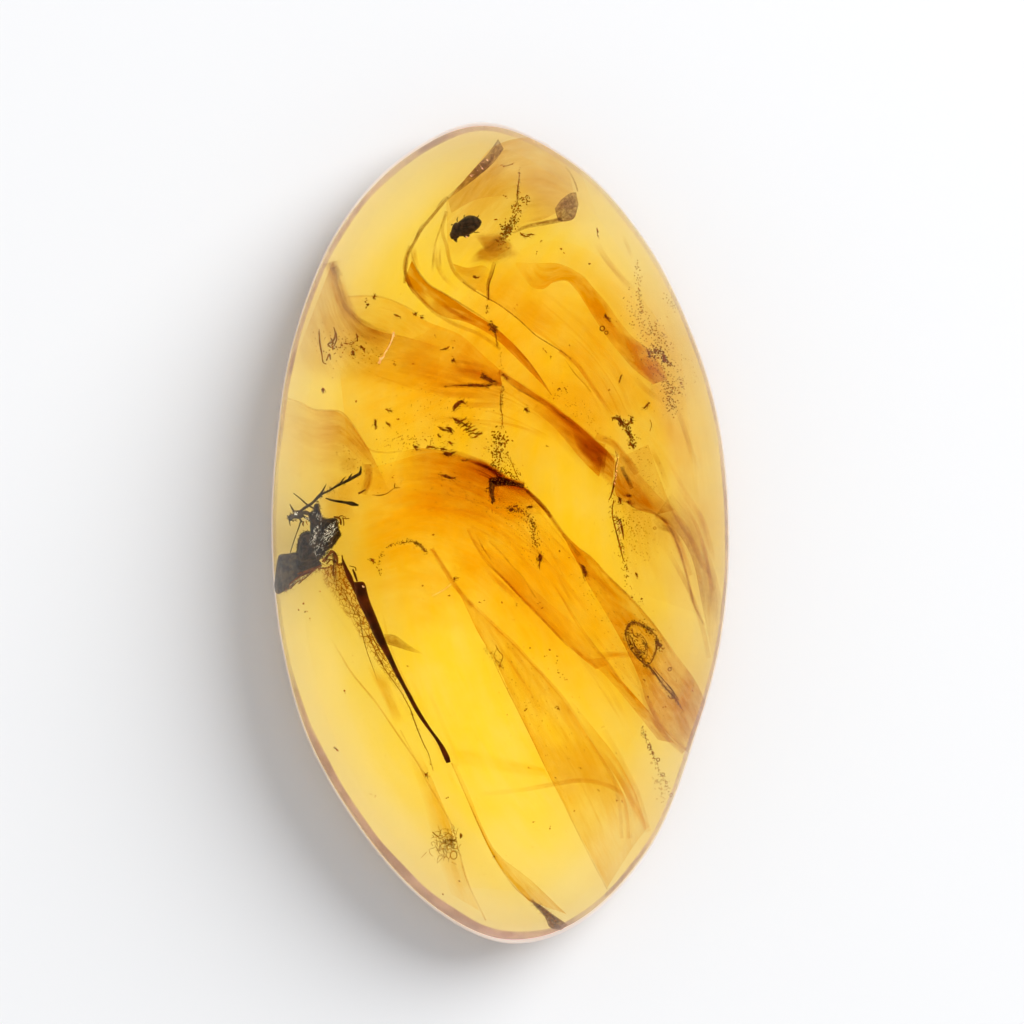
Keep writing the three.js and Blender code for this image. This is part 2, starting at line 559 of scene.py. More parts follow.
# %% Wide soft flows
washes = [
    flow([(-4.4, 22.5), (-10.6, 14.5), (-12.8, 6.0), (-12.6, -5.0), (-9.6, -13.5), (-3.0, -21.5)],
         [(1.0, 23.0), (9.0, 15.5), (12.6, 6.0), (12.6, -5.0), (9.8, -14.0), (3.2, -22.0)],
         1.2, (0, 0.35, 0.6, 0.65, 0.65, 0.65, 0.6, 0.35, 0), -1, (0.2, 0.9, 1, 1, 0.9, 0.2)),
    flow([(-9.8, 10.0), (-7.0, 11.2), (-4.0, 12.6), (-1.0, 15.6), (2.0, 17.6), (5.0, 17.4),
          (8.0, 15.0), (11.0, 11.0)],
         [(-9.2, 4.4), (-6.5, 4.6), (-4.0, 4.9), (-1.0, 4.4), (1.5, 3.2), (4.2, 3.8), (6.9, 4.3),
          (12.0, 1.5)],
         1.6, (0.15, 0.45, 0.55, 0.5, 0.42, 0.28, 0), 0.05,
         (0.5, 0.9, 0.95, 0.8, 0.5, 0.65, 0.8, 0.3)),
    flow([(0.5, 10.6), (2.5, 10.2), (4.5, 9.6), (6.5, 8.8), (8.5, 7.6)],
         [(1.0, 7.0), (2.4, 6.0), (4.0, 4.9), (5.6, 3.6), (7.0, 3.2)],
         1.7, (0, 0.25, 0.3, 0.3, 0.2, 0), 0.15, (0, 0.8, 0.8, 0.8, 0)),
    flow([(-9.8, 3.4), (-7.0, 4.2), (-4.0, 4.9), (-1.0, 4.1), (1.6, 2.6), (3.1, 0.9), (4.8, -1.2),
          (6.6, -3.4), (8.6, -6.2), (10.2, -9.0)],
         [(-10.5, -4.6), (-8.4, -6.4), (-6.0, -7.0), (-4.0, -6.6), (-2.0, -6.2), (0.0, -7.4),
          (2.0, -9.0), (4.0, -10.5), (6.0, -12.0), (7.5, -13.5)],
         1.8, (0.45, 0.65, 0.7, 0.6, 0.45, 0.25, 0), 0.06,
         (0.2, 0.8, 0.95, 1, 0.85, 0.65, 0.5, 0.3)),
    flow([(-2.8, 15.9), (-0.7, 14.3), (1.7, 12.5), (3.8, 11.0), (5.5, 9.0), (6.8, 7.2)],
         [(0.6, 17.2), (3.2, 16.0), (5.4, 13.8), (6.9, 11.6), (8.0, 9.4), (8.8, 7.0)],
         2.6, (0.42, 0.35, 0.22, 0.12, 0.05), 0.35, (0.4, 1, 1, 1, 0.7)),
    flow([(-3.3, 20.2), (-1.7, 22.1), (-0.3, 23.6), (2.2, 24.0), (4.8, 22.2)],
         [(-3.2, 16.4), (-1.4, 16.6), (0.8, 17.2), (3.2, 18.2), (6.2, 18.6)],
         2.4, (0.4, 0.4, 0.35, 0.25, 0), 0.5, (0.8, 1, 1, 0.8, 0.2)),
    flow([(-10.2, 16.6), (-9.6, 14.3), (-8.6, 12.9), (-7.4, 12.3), (-5.6, 11.9), (-3.6, 11.3)],
         [(-12.9, 9.6), (-12.2, 9.2), (-11.0, 9.0), (-9.0, 9.0), (-7.0, 8.8), (-4.0, 8.6)],
         2.2, (0.6, 0.45, 0.3, 0.2, 0), 1.2, (0.7, 1, 1, 0.6, 0.3)),
    flow([(-13.2, 8.1), (-12.2, 7.9), (-11.2, 7.45), (-10.0, 7.4), (-9.2, 6.8), (-8.0, 5.1)],
         [(-13.5, 1.5), (-12.2, 1.2), (-11.0, 1.0), (-9.8, 1.0), (-8.4, 1.2), (-6.4, 1.8)],
         1.8, (0.6, 0.55, 0.3, 0.15, 0.05, 0), 1.1, (0.25, 0.4, 0.9, 1, 0.9)),
    flow([(10.0, 16.4), (11.4, 12.6), (12.6, 9.0), (13.3, 5.4), (13.6, 1.6), (13.4, -3.4)],
         [(7.0, 15.0), (8.4, 11.2), (9.2, 7.6), (10.2, 4.0), (10.6, 1.6), (11.6, -1.4)],
         2.6, (0.03, 0.12, 0.2, 0.18, 0), 0.8, (0.3, 0.8, 1, 0.9, 0.8, 0.4)),
]
FLOW_GRAIN = [
    ([(-3.0, 0.4), (-0.5, -2.2), (2.4, -5.4), (5.0, -8.4), (7.6, -12.4)],
     [(1.0, 0.9), (2.8, -0.8), (4.2, -3.4), (6.0, -6.6), (9.4, -11.0)],
     3.2, 18, 0.9, 51),
    ([(-4.0, -1.6), (-2.2, -4.4), (0.0, -8.4), (3.0, -14.4), (5.6, -19.4)],
     [(-2.4, -3.0), (0.4, -6.4), (3.4, -10.0), (6.6, -14.4), (8.2, -18.4)],
     2.6, 12, 0.6, 52, 0.3),
    ([(-2.2, 15.4), (0.4, 13.6), (3.6, 11.2), (5.8, 8.2), (7.0, 5.4)],
     [(1.4, 16.2), (4.0, 14.2), (6.4, 11.6), (8.0, 9.0), (9.0, 5.8)],
     3.4, 14, 0.6, 53, 0.3),
    ([(-8.6, 11.4), (-5.0, 10.6), (-2.0, 9.6), (0.6, 8.8), (3.6, 6.6)],
     [(-8.4, 5.2), (-5.4, 5.6), (-2.4, 5.8), (0.4, 5.6), (3.8, 5.0)],
     3.4, 24, 0.8, 54, 0.4),
    ([(-6.4, 4.4), (-3.4, 4.6), (-1.0, 3.8), (1.4, 2.4), (4.0, -0.6), (6.4, -3.2)],
     [(-6.4, 0.6), (-3.6, 0.4), (-1.4, -0.2), (0.8, -1.4), (3.2, -3.4), (5.4, -5.8)],
     3.4, 24, 0.9, 55, 0.45),
    ([(7.6, 4.6), (9.2, 2.6), (11.0, 0.0), (12.0, -3.2), (12.4, -6.6)],
     [(10.0, 5.4), (11.2, 3.0), (12.6, 0.4), (13.2, -3.2), (13.2, -6.2)],
     3.2, 12, 1.1, 56, 0.4),
    ([(-10.0, -4.0), (-9.0, -6.6), (-7.4, -9.6), (-5.2, -13.4), (-3.6, -17.4)],
     [(-5.0, -3.4), (-5.0, -6.6), (-4.2, -9.6), (-2.8, -13.4), (-1.6, -17.4)],
     3.0, 9, 0.6, 57, 0.25),
]
for row in FLOW_GRAIN:
    washes += flow_lines(*row)
piece("flow_washes", washes, FLOW)

# %% [markdown]
# ## The swirl at the top
#
# Near the top a flow folded back on itself round the spot where the beetle was caught. Its skin
# is seen edge-on as a dark line that hooks round to the left, and then as a russet band that
# runs away down to the right.

# %% The swirl and its seams
swirl = [
    flow([(-5.85, 15.4), (-5.3, 14.8), (-4.5, 13.9), (-3.5, 13.2), (-2.0, 12.8), (-0.5, 12.0),
          (0.5, 11.1), (1.5, 10.1), (2.4, 9.2)],
         [(-5.4, 16.6), (-4.9, 15.7), (-4.2, 15.0), (-3.4, 14.55), (-2.0, 13.6), (-0.6, 12.7),
          (0.5, 11.8), (1.8, 10.4), (3.2, 8.3)],
         (5.5, 4.2, 3.6), (0.95, 0.9, 0.95, 0.9, 0.95), 0.95, (0.9, 1, 1, 1, 1, 1, 0.9, 0.8, 0.5)),
    flow([(-3.9, 14.3), (-3.2, 13.9), (-2.4, 13.4), (-1.4, 12.8)],
         [(-3.7, 13.6), (-3.0, 13.3), (-2.2, 12.95), (-1.3, 12.6)],
         4.0, (0, 0.6, 0.7, 0), 1.0, (0, 1, 1, 0)),
    flow([(-0.15, 24.0), (-0.7, 23.2), (-1.5, 22.3), (-2.3, 21.4), (-3.3, 20.45)],
         [(0.2, 23.4), (-0.3, 22.7), (-0.9, 22.1), (-1.9, 21.3), (-3.2, 20.3)],
         (5.5, 6.5, 6.5), (0.85, 1, 0.95, 0.8), (3, 2.7, 2.3), (0.9, 1, 1, 0.8), dip=0.2),
    flow([(3.3, 19.75), (3.7, 20.3), (4.25, 20.7), (4.6, 20.75)],
         [(3.5, 19.0), (4.0, 18.98), (4.5, 19.2), (4.75, 20.0)],
         6.0, (0.8, 1, 1, 1), 2.6, (0.9, 1, 1, 0.9), dip=-0.4),
    flow([(3.6, 19.8), (3.9, 20.2), (4.25, 20.5), (4.5, 20.6)],
         [(3.7, 19.2), (4.1, 19.15), (4.4, 19.35), (4.6, 20.0)],
         6.1, (0.2, 0.4, 0.5, 0.3), 2.4, (0.4, 1, 1, 0.6), dip=-0.4),
    flow([(0.7, 18.3), (1.5, 18.76), (2.5, 18.98), (3.7, 19.25)],
         [(0.85, 18.25), (1.6, 18.55), (2.6, 18.72), (3.8, 18.95)],
         (4.5, 5.8), (0.5, 1, 0.9, 0.6), 2.5, (0.6, 1, 1, 0.9), dip=0),
    flow([(1.15, 22.3), (2.2, 22.7), (3.2, 22.6), (4.1, 22.2)],
         [(1.0, 18.9), (2.4, 19.05), (3.4, 19.5), (4.6, 20.2)],
         4.6, (0, 0.22, 0.25, 0.3), 1.2, (0, 1, 1, 0.7)),
    flow([(-3.2, 20.3), (-1.6, 22.2), (-0.3, 23.2), (1.0, 23.4)],
         [(-3.0, 19.5), (-1.5, 20.3), (0.0, 20.5), (0.95, 20.3)],
         4.2, (0.3, 0.35, 0.3, 0.3), 1.1, (0.8, 1, 0.9, 0)),
    flow([(-2.1, 16.3), (-1.2, 16.35), (-0.3, 16.2), (0.6, 16.6), (1.4, 16.9)],
         [(-1.8, 16.9), (-0.9, 17.7), (-0.2, 18.3), (0.5, 17.9), (1.0, 17.4)],
         4.4, (0, 0.75, 0.75, 0), 1.6, (0, 1, 1, 1, 0)),
    flow([(-1.9, 18.2), (-1.2, 18.35), (-0.4, 18.4), (0.4, 18.7)],
         [(-1.2, 17.6), (-0.8, 17.0), (-0.2, 16.9), (0.5, 17.4)],
         4.7, (0, 0.6, 0.6, 0), 1.6, (0, 1, 1, 0)),
    flow([(-2.9, 16.4), (-2.0, 16.15), (-1.1, 16.3), (-0.6, 16.0)],
         [(-2.6, 15.7), (-1.9, 15.1), (-1.2, 14.7), (-0.7, 14.6)],
         4.0, (0.6, 0.5, 0.35, 0.3), 0.95, (0.8, 1, 0.8, 0.3)),
    seam([(-3.2, 20.45), (-4.2, 19.25), (-4.8, 18.5), (-5.2, 17.8), (-5.6, 17.0), (-5.75, 16.2),
          (-5.85, 15.2)], 0.26, (6.3, 5.2), 0.9, 2.1, (1, 1, 1, 0.9, 0.7)),
    seam([(-3.35, 20.5), (-3.6, 20.2), (-4.0, 19.7)], 0.12, 6.0, 0.7, 2.6, (0.3, 1, 0)),
    seam([(-4.5, 19.1), (-4.95, 18.5), (-5.3, 17.6)], 0.14, 6.0, 0.6, 2.3, (0, 1, 0)),
    seam([(-5.45, 17.2), (-5.3, 16.6), (-5.0, 15.9), (-4.3, 15.1), (-3.3, 14.5), (-2.0, 13.7),
          (-0.8, 12.9), (0.2, 12.05)], 0.16, 5.0, 0.8, 1.9, (0.4, 1, 1, 1, 0.8, 0.7, 0.4)),
    seam([(-5.5, 17.5), (-5.75, 16.8), (-5.82, 16.0), (-5.4, 14.9), (-4.6, 14.0), (-3.9, 13.35),
          (-2.65, 12.65), (-1.3, 12.1), (0.0, 11.2)], 0.3, 5.2, 0.7, 1.7,
         (0.5, 1, 1, 1, 0.8, 0.7, 0.6, 0.4)),
    seam([(-5.85, 16.0), (-5.65, 15.2), (-5.3, 14.6)], 0.12, 5.3, 0.9, 2.6, (0.2, 1, 0.3)),
    seam([(-5.3, 17.6), (-5.25, 16.7), (-5.0, 15.95)], 0.5, 5.0, 0.4, 1.2, (0, 1, 0.3)),
    seam([(-4.2, 17.9), (-3.95, 17.2), (-3.9, 16.4), (-3.6, 15.8), (-3.2, 15.3), (-2.6, 14.8)],
         0.35, 4.8, 0.35, 1.5, (0, 1, 1, 0.3)),
    seam([(-3.35, 19.4), (-3.65, 18.6), (-3.95, 17.7), (-4.1, 16.9)], 0.16, 5.4, 0.5, 1.8,
         (0.6, 1, 0.3)),
    seam([(0.5, 11.9), (1.2, 11.0), (1.9, 10.2), (2.6, 9.2), (3.1, 8.4)], 0.12, 3.9, 0.8, 2.0,
         (0.2, 0.8, 1, 0.7)),
    seam([(-3.3, 19.6), (-3.55, 18.5), (-3.3, 17.5), (-3.1, 16.6), (-2.8, 15.9), (-2.2, 15.25),
          (-1.5, 14.75)], 0.3, 5.0, 0.65, 1.7, (0.5, 0.8, 1)),
    seam([(-2.3, 15.3), (-1.5, 14.72), (-0.7, 14.25), (0.0, 13.85), (1.0, 13.1), (1.7, 12.45),
          (2.2, 12.0), (3.0, 11.5), (3.8, 11.0), (4.3, 10.6)], 0.1, 5.2, 1, 2.7, (0.6, 1, 1, 0.8)),
    seam([(3.6, 11.1), (4.6, 10.3), (5.2, 9.5), (5.8, 8.6), (6.8, 7.2)], 0.34, 5.0, 0.6, 1.2,
         (0.7, 1, 1, 0.3)),
    seam([(3.9, 10.6), (4.5, 9.75), (5.1, 9.1), (5.5, 8.6)], 0.12, 5.4, 0.7, 1.9, (0.3, 1, 0.6)),
    seam([(4.7, 20.8), (4.55, 21.3), (4.25, 21.9), (3.95, 22.3)], 0.14, 5.6, 0.55, 2.0, (1, 0.4)),
    seam([(-0.4, 16.5), (-0.6, 15.8), (-0.78, 15.1), (-0.75, 14.15)], 0.24, 5.0, 0.8, 2.0,
         (0.7, 1, 0.9)),
    seam([(-4.0, 17.4), (-4.1, 16.6), (-4.15, 15.8)], 0.2, 4.8, 0.8, 2.0, (0, 1, 0)),
    seam([(-3.9, 17.0), (-3.8, 16.3), (-3.55, 15.6)], 0.3, 4.8, 0.6, 1.6, (0, 1, 0)),
    seam([(-3.65, 17.6), (-3.7, 16.8), (-3.6, 15.9)], 0.2, 4.8, 0.6, 1.8, (0, 1, 0)),
]
piece("swirl_layers", swirl, FLOW)

# %% [markdown]
# ## The orange run on the right
#
# A separate, thicker run of darker resin went down the right side. Both its edges are sharp, so
# its cover stays high right across and drops at once.

# %% The orange run
orange_run = [
    flow([(0.9, 16.35), (1.3, 15.75), (1.9, 15.0), (2.6, 14.85), (3.2, 15.25), (4.0, 15.35),
          (4.6, 14.8), (5.2, 13.9), (5.8, 12.95), (6.5, 11.9), (7.3, 10.9), (8.1, 10.0),
          (9.3, 9.05)],
         [(1.0, 16.5), (1.8, 16.45), (2.6, 16.45), (3.3, 16.45), (3.9, 16.3), (4.5, 16.0),
          (5.1, 15.6), (5.6, 15.0), (6.5, 13.97), (7.2, 12.95), (8.1, 11.9), (9.3, 10.9),
          (10.2, 9.4)],
         (3.4, 3.8, 4.6), (0.5, 0.78, 0.8, 0.75, 0.5), (0.35, 0.45, 0.6, 1.1),
         (0.3, 1, 1, 1, 1, 0.75)),
    flow([(3.4, 15.5), (4.3, 15.3), (5.0, 14.5), (5.8, 13.2), (6.8, 11.9), (7.8, 10.9), (9.0, 9.9)],
         [(3.8, 16.1), (4.8, 15.5), (5.6, 14.7), (6.6, 13.3), (7.4, 12.2), (8.6, 11.1), (9.8, 9.9)],
         3.2, (0, 0.3, 0.35, 0), 0.3, (0, 1, 1, 0.8, 0)),
    seam([(5.7, 17.9), (6.3, 16.9), (7.0, 16.0), (7.6, 15.3), (8.2, 14.7)], 0.5, 5.0, 0.38, 1.5,
         (0, 1, 1, 0)),
    seam([(7.4, 18.3), (7.8, 17.3), (8.1, 16.6)], 0.3, 5.0, 0.25, 1.6, (0, 1, 0)),
    seam([(10.6, 8.0), (11.2, 6.3), (11.6, 5.0), (11.95, 3.8)], 0.4, 4.6, 0.4, 1.5, (0, 1, 1, 0)),
    seam([(9.0, 5.4), (9.7, 4.1), (10.2, 2.8)], 0.4, 4.4, 0.45, 1.3, (0, 1, 0.2)),
    seam([(7.9, 9.8), (8.6, 9.0), (9.3, 8.4), (10.2, 7.9)], 0.5, 4.2, 0.25, 1.4, (0, 1, 0)),
]
piece("orange_run", orange_run, FLOW)

# %% [markdown]
# ## The arch and the long bands through the middle
#
# Across the middle the skins stand steeply, so they look dark: an arch at the left, a band that
# comes down from the swirl's foot, and a long band that widens to the lower right.

# %% The arch
arch = [
    flow([(-6.2, 4.9), (-5.2, 5.15), (-4.0, 5.1), (-3.0, 4.9), (-2.0, 4.55), (-0.8, 4.05),
          (0.3, 3.4), (1.4, 2.8), (2.2, 2.1)],
         [(-7.5, 1.5), (-5.6, 1.0), (-4.0, 0.8), (-2.6, 0.6), (-1.2, 0.4), (0.0, 0.4),
          (1.2, 0.7), (2.2, 1.0), (3.0, 1.1)],
         (3.0, 4.2, 3.4), (0.95, 0.9, 0.65, 0.5, 0.3, 0), 0.7, (0.1, 0.6, 0.9, 1, 1, 0.9)),
    seam([(-2.6, 4.6), (-1.8, 4.4), (-1.0, 4.1), (-0.2, 3.75)], 0.3, 4.3, 0.9, 1.6, (0.4, 1, 1)),
    seam([(-2.2, 4.2), (-1.2, 3.9), (0.0, 3.4)], 0.22, 4.3, 0.6, 1.3, (0, 1, 0.8)),
    seam([(-0.7, 3.15), (0.0, 3.2), (0.7, 3.1), (1.45, 2.85)], 0.5, 4.6, 1, 1.2, (0.9, 1, 1, 0.8)),
    seam([(-0.7, 3.1), (0.0, 3.15), (0.7, 3.05), (1.4, 2.8)], 0.6, 4.7, 1, 1.2, (0.9, 1, 1, 0.6)),
    seam([(-0.6, 3.05), (0.1, 3.05), (0.9, 3.0)], 0.4, 4.75, 0.9, 2.0, (0.9, 1, 0.3)),
    seam([(-0.5, 3.2), (-0.58, 2.6), (-0.5, 1.9)], 0.45, 4.6, 1, 1.3, (1, 0.9, 0.3)),
    seam([(-0.55, 3.2), (-0.6, 2.7), (-0.55, 2.2)], 0.3, 4.65, 0.9, 1.9, (1, 0.9, 0.2)),
    seam([(-3.4, 4.95), (-2.4, 4.75), (-1.4, 4.35), (-0.5, 3.85), (0.2, 3.4)], 0.5, 4.4, 0.8, 1.2,
         (0.2, 0.8, 1, 1)),
    seam([(-1.6, 4.3), (-0.8, 4.0), (0.0, 3.5)], 0.3, 4.5, 0.9, 1.5, (0.2, 1, 0.8)),
    seam([(-2.3, 4.55), (-1.3, 4.3), (-0.6, 3.95), (0.1, 3.4), (0.6, 3.1)], 0.6, 4.55, 0.9, 1.0,
         (0.1, 0.9, 1, 1, 0.8)),
    seam([(-1.9, 4.45), (-1.1, 4.2), (-0.5, 3.85), (0.1, 3.35)], 0.34, 4.6, 1, 1.1, (0.2, 1, 1, 1)),
    seam([(-1.5, 4.3), (-0.9, 4.05), (-0.3, 3.6), (0.1, 3.3)], 0.2, 4.65, 1, 1.6, (0.2, 1, 1, 1)),
    seam([(-2.0, 4.05), (-1.2, 3.75), (-0.4, 3.3)], 0.16, 4.5, 0.9, 1.2, (0.1, 1, 1)),
    seam([(-1.6, 3.75), (-0.9, 3.45), (-0.3, 3.1)], 0.14, 4.5, 0.9, 1.2, (0.1, 1, 1)),
    seam([(-0.7, 3.2), (0.2, 3.1), (1.4, 2.85)], 0.8, 4.8, 0.9, 1.0, (0.8, 1, 0.7)),
    flow([(-2.8, 4.7), (-1.8, 4.4), (-0.8, 3.9), (0.0, 3.4)],
         [(-2.6, 3.3), (-1.6, 3.0), (-0.8, 2.6), (-0.2, 2.0)],
         4.3, (0.7, 0.5, 0.3, 0), 0.9, (0, 0.7, 1, 0.9)),
    flow([(-0.4, 3.1), (0.3, 3.1), (1.0, 3.0), (1.7, 2.6)],
         [(-0.4, 1.6), (0.4, 1.5), (1.2, 1.6), (2.2, 1.7)],
         4.0, (0.7, 0.5, 0.3, 0), 1.1, (0.8, 1, 0.9)),
    seam([(1.3, 2.9), (1.9, 2.3), (2.6, 1.6), (3.1, 0.95)], 0.3, 4.2, 0.9, 1.7, (0.8, 1, 1)),
    flow([(-3.8, 11.0), (-2.6, 10.95), (-1.4, 10.5), (0.0, 9.8)],
         [(-3.6, 9.7), (-2.4, 9.5), (-1.2, 9.2), (0.1, 8.9)],
         4.4, (0.2, 0.55, 0.65, 0.7, 0.3), 1.0, (0, 0.7, 1, 1)),
    seam([(-3.2, 10.5), (-2.2, 10.4), (-1.0, 10.1)], 0.3, 4.6, 0.5, 1.4, (0, 1, 0.4)),
    seam([(-3.0, 9.9), (-2.0, 9.9), (-0.8, 9.6)], 0.3, 4.6, 0.5, 1.4, (0, 1, 0.4)),
    seam([(-5.0, 9.1), (-3.4, 9.0), (-1.8, 9.0), (0.1, 9.05)], 0.4, 4.6, 0.6, 1.2, (0, 0.7, 1)),
    seam([(-4.5, 8.5), (-2.5, 8.4), (-0.2, 8.4)], 0.5, 4.4, 0.35, 0.9, (0, 1, 0.6)),
    seam([(-3.0, 7.8), (-1.4, 7.8), (0.2, 7.75)], 0.5, 4.4, 0.35, 1.0, (0, 1, 0.6)),
    flow([(-8.45, 4.2), (-8.3, 3.6), (-8.4, 3.0), (-8.7, 2.4)],
         [(-7.8, 4.2), (-7.75, 3.6), (-7.85, 3.0), (-8.1, 2.3)],
         3.6, (0.2, 0.85, 0.85, 0.2), 1.5, (0.8, 0.9, 0.8, 0.3)),
    flow([(-10.0, 4.6), (-9.5, 4.9), (-9.0, 4.7), (-8.6, 4.4)],
         [(-9.9, 3.6), (-9.4, 3.5), (-9.0, 3.6), (-8.6, 3.8)],
         3.4, (0, 0.3, 0.25, 0), 1.3, (0, 1, 1, 0)),
    flow([(-11.0, 3.0), (-10.2, 3.4), (-9.4, 3.4), (-8.6, 3.2)],
         [(-11.0, 0.6), (-10.2, 0.4), (-9.4, 0.3), (-8.6, 0.6)],
         2.6, (0, 0.25, 0.3, 0.2, 0), 0.8, (0.2, 1, 1, 0.2)),
    seam([(-10.2, 16.2), (-9.9, 15.2), (-9.5, 14.0), (-9.2, 13.5), (-8.7, 13.0), (-8.2, 12.7),
          (-7.5, 12.3), (-6.5, 12.0)], 0.5, 4.4, 0.6, 1.9, (0.8, 1, 1, 0.7, 0.3)),
    seam([(-10.3, 16.5), (-10.0, 15.4), (-9.6, 14.2), (-9.1, 13.1), (-8.4, 12.3), (-7.6, 12.0),
          (-6.6, 11.8)], 1.2, 4.2, 0.5, 1.5, (0.9, 1, 1, 0.8, 0.2)),
    seam([(-10.35, 16.75), (-10.1, 16.1), (-9.75, 15.6)], 0.6, 4.0, 0.9, 2.0, (0, 1, 0.2)),
    seam([(-9.3, 14.4), (-8.0, 14.45), (-7.0, 14.3), (-6.0, 13.9), (-5.3, 13.5), (-4.5, 12.9)],
         0.16, 4.8, 0.35, 1.6, (0.6, 1, 1, 0.3)),
    seam([(-13.0, 8.2), (-12.2, 7.95), (-11.3, 7.5), (-10.0, 7.45), (-9.5, 7.2), (-9.0, 6.6),
          (-8.6, 6.0), (-8.0, 5.1), (-7.0, 4.9), (-6.0, 5.0)], 0.16, 4.4, 0.5, 1.6,
         (0.4, 1, 1, 1, 0.6)),
    flow([(-9.3, 14.4), (-8.0, 14.45), (-7.0, 14.3), (-6.0, 13.9), (-4.5, 12.9), (-2.5, 12.1),
          (-1.0, 10.8), (0.0, 9.9)],
         [(-9.0, 12.9), (-8.0, 11.5), (-7.0, 10.6), (-6.0, 9.6), (-4.5, 8.6), (-3.0, 8.0),
          (-1.6, 7.6), (0.0, 7.6)],
         3.2, (0.42, 0.4, 0.38, 0.3, 0), 0.45, (0.7, 0.9, 1, 1, 1)),
]
piece("arch_layers", arch, FLOW)

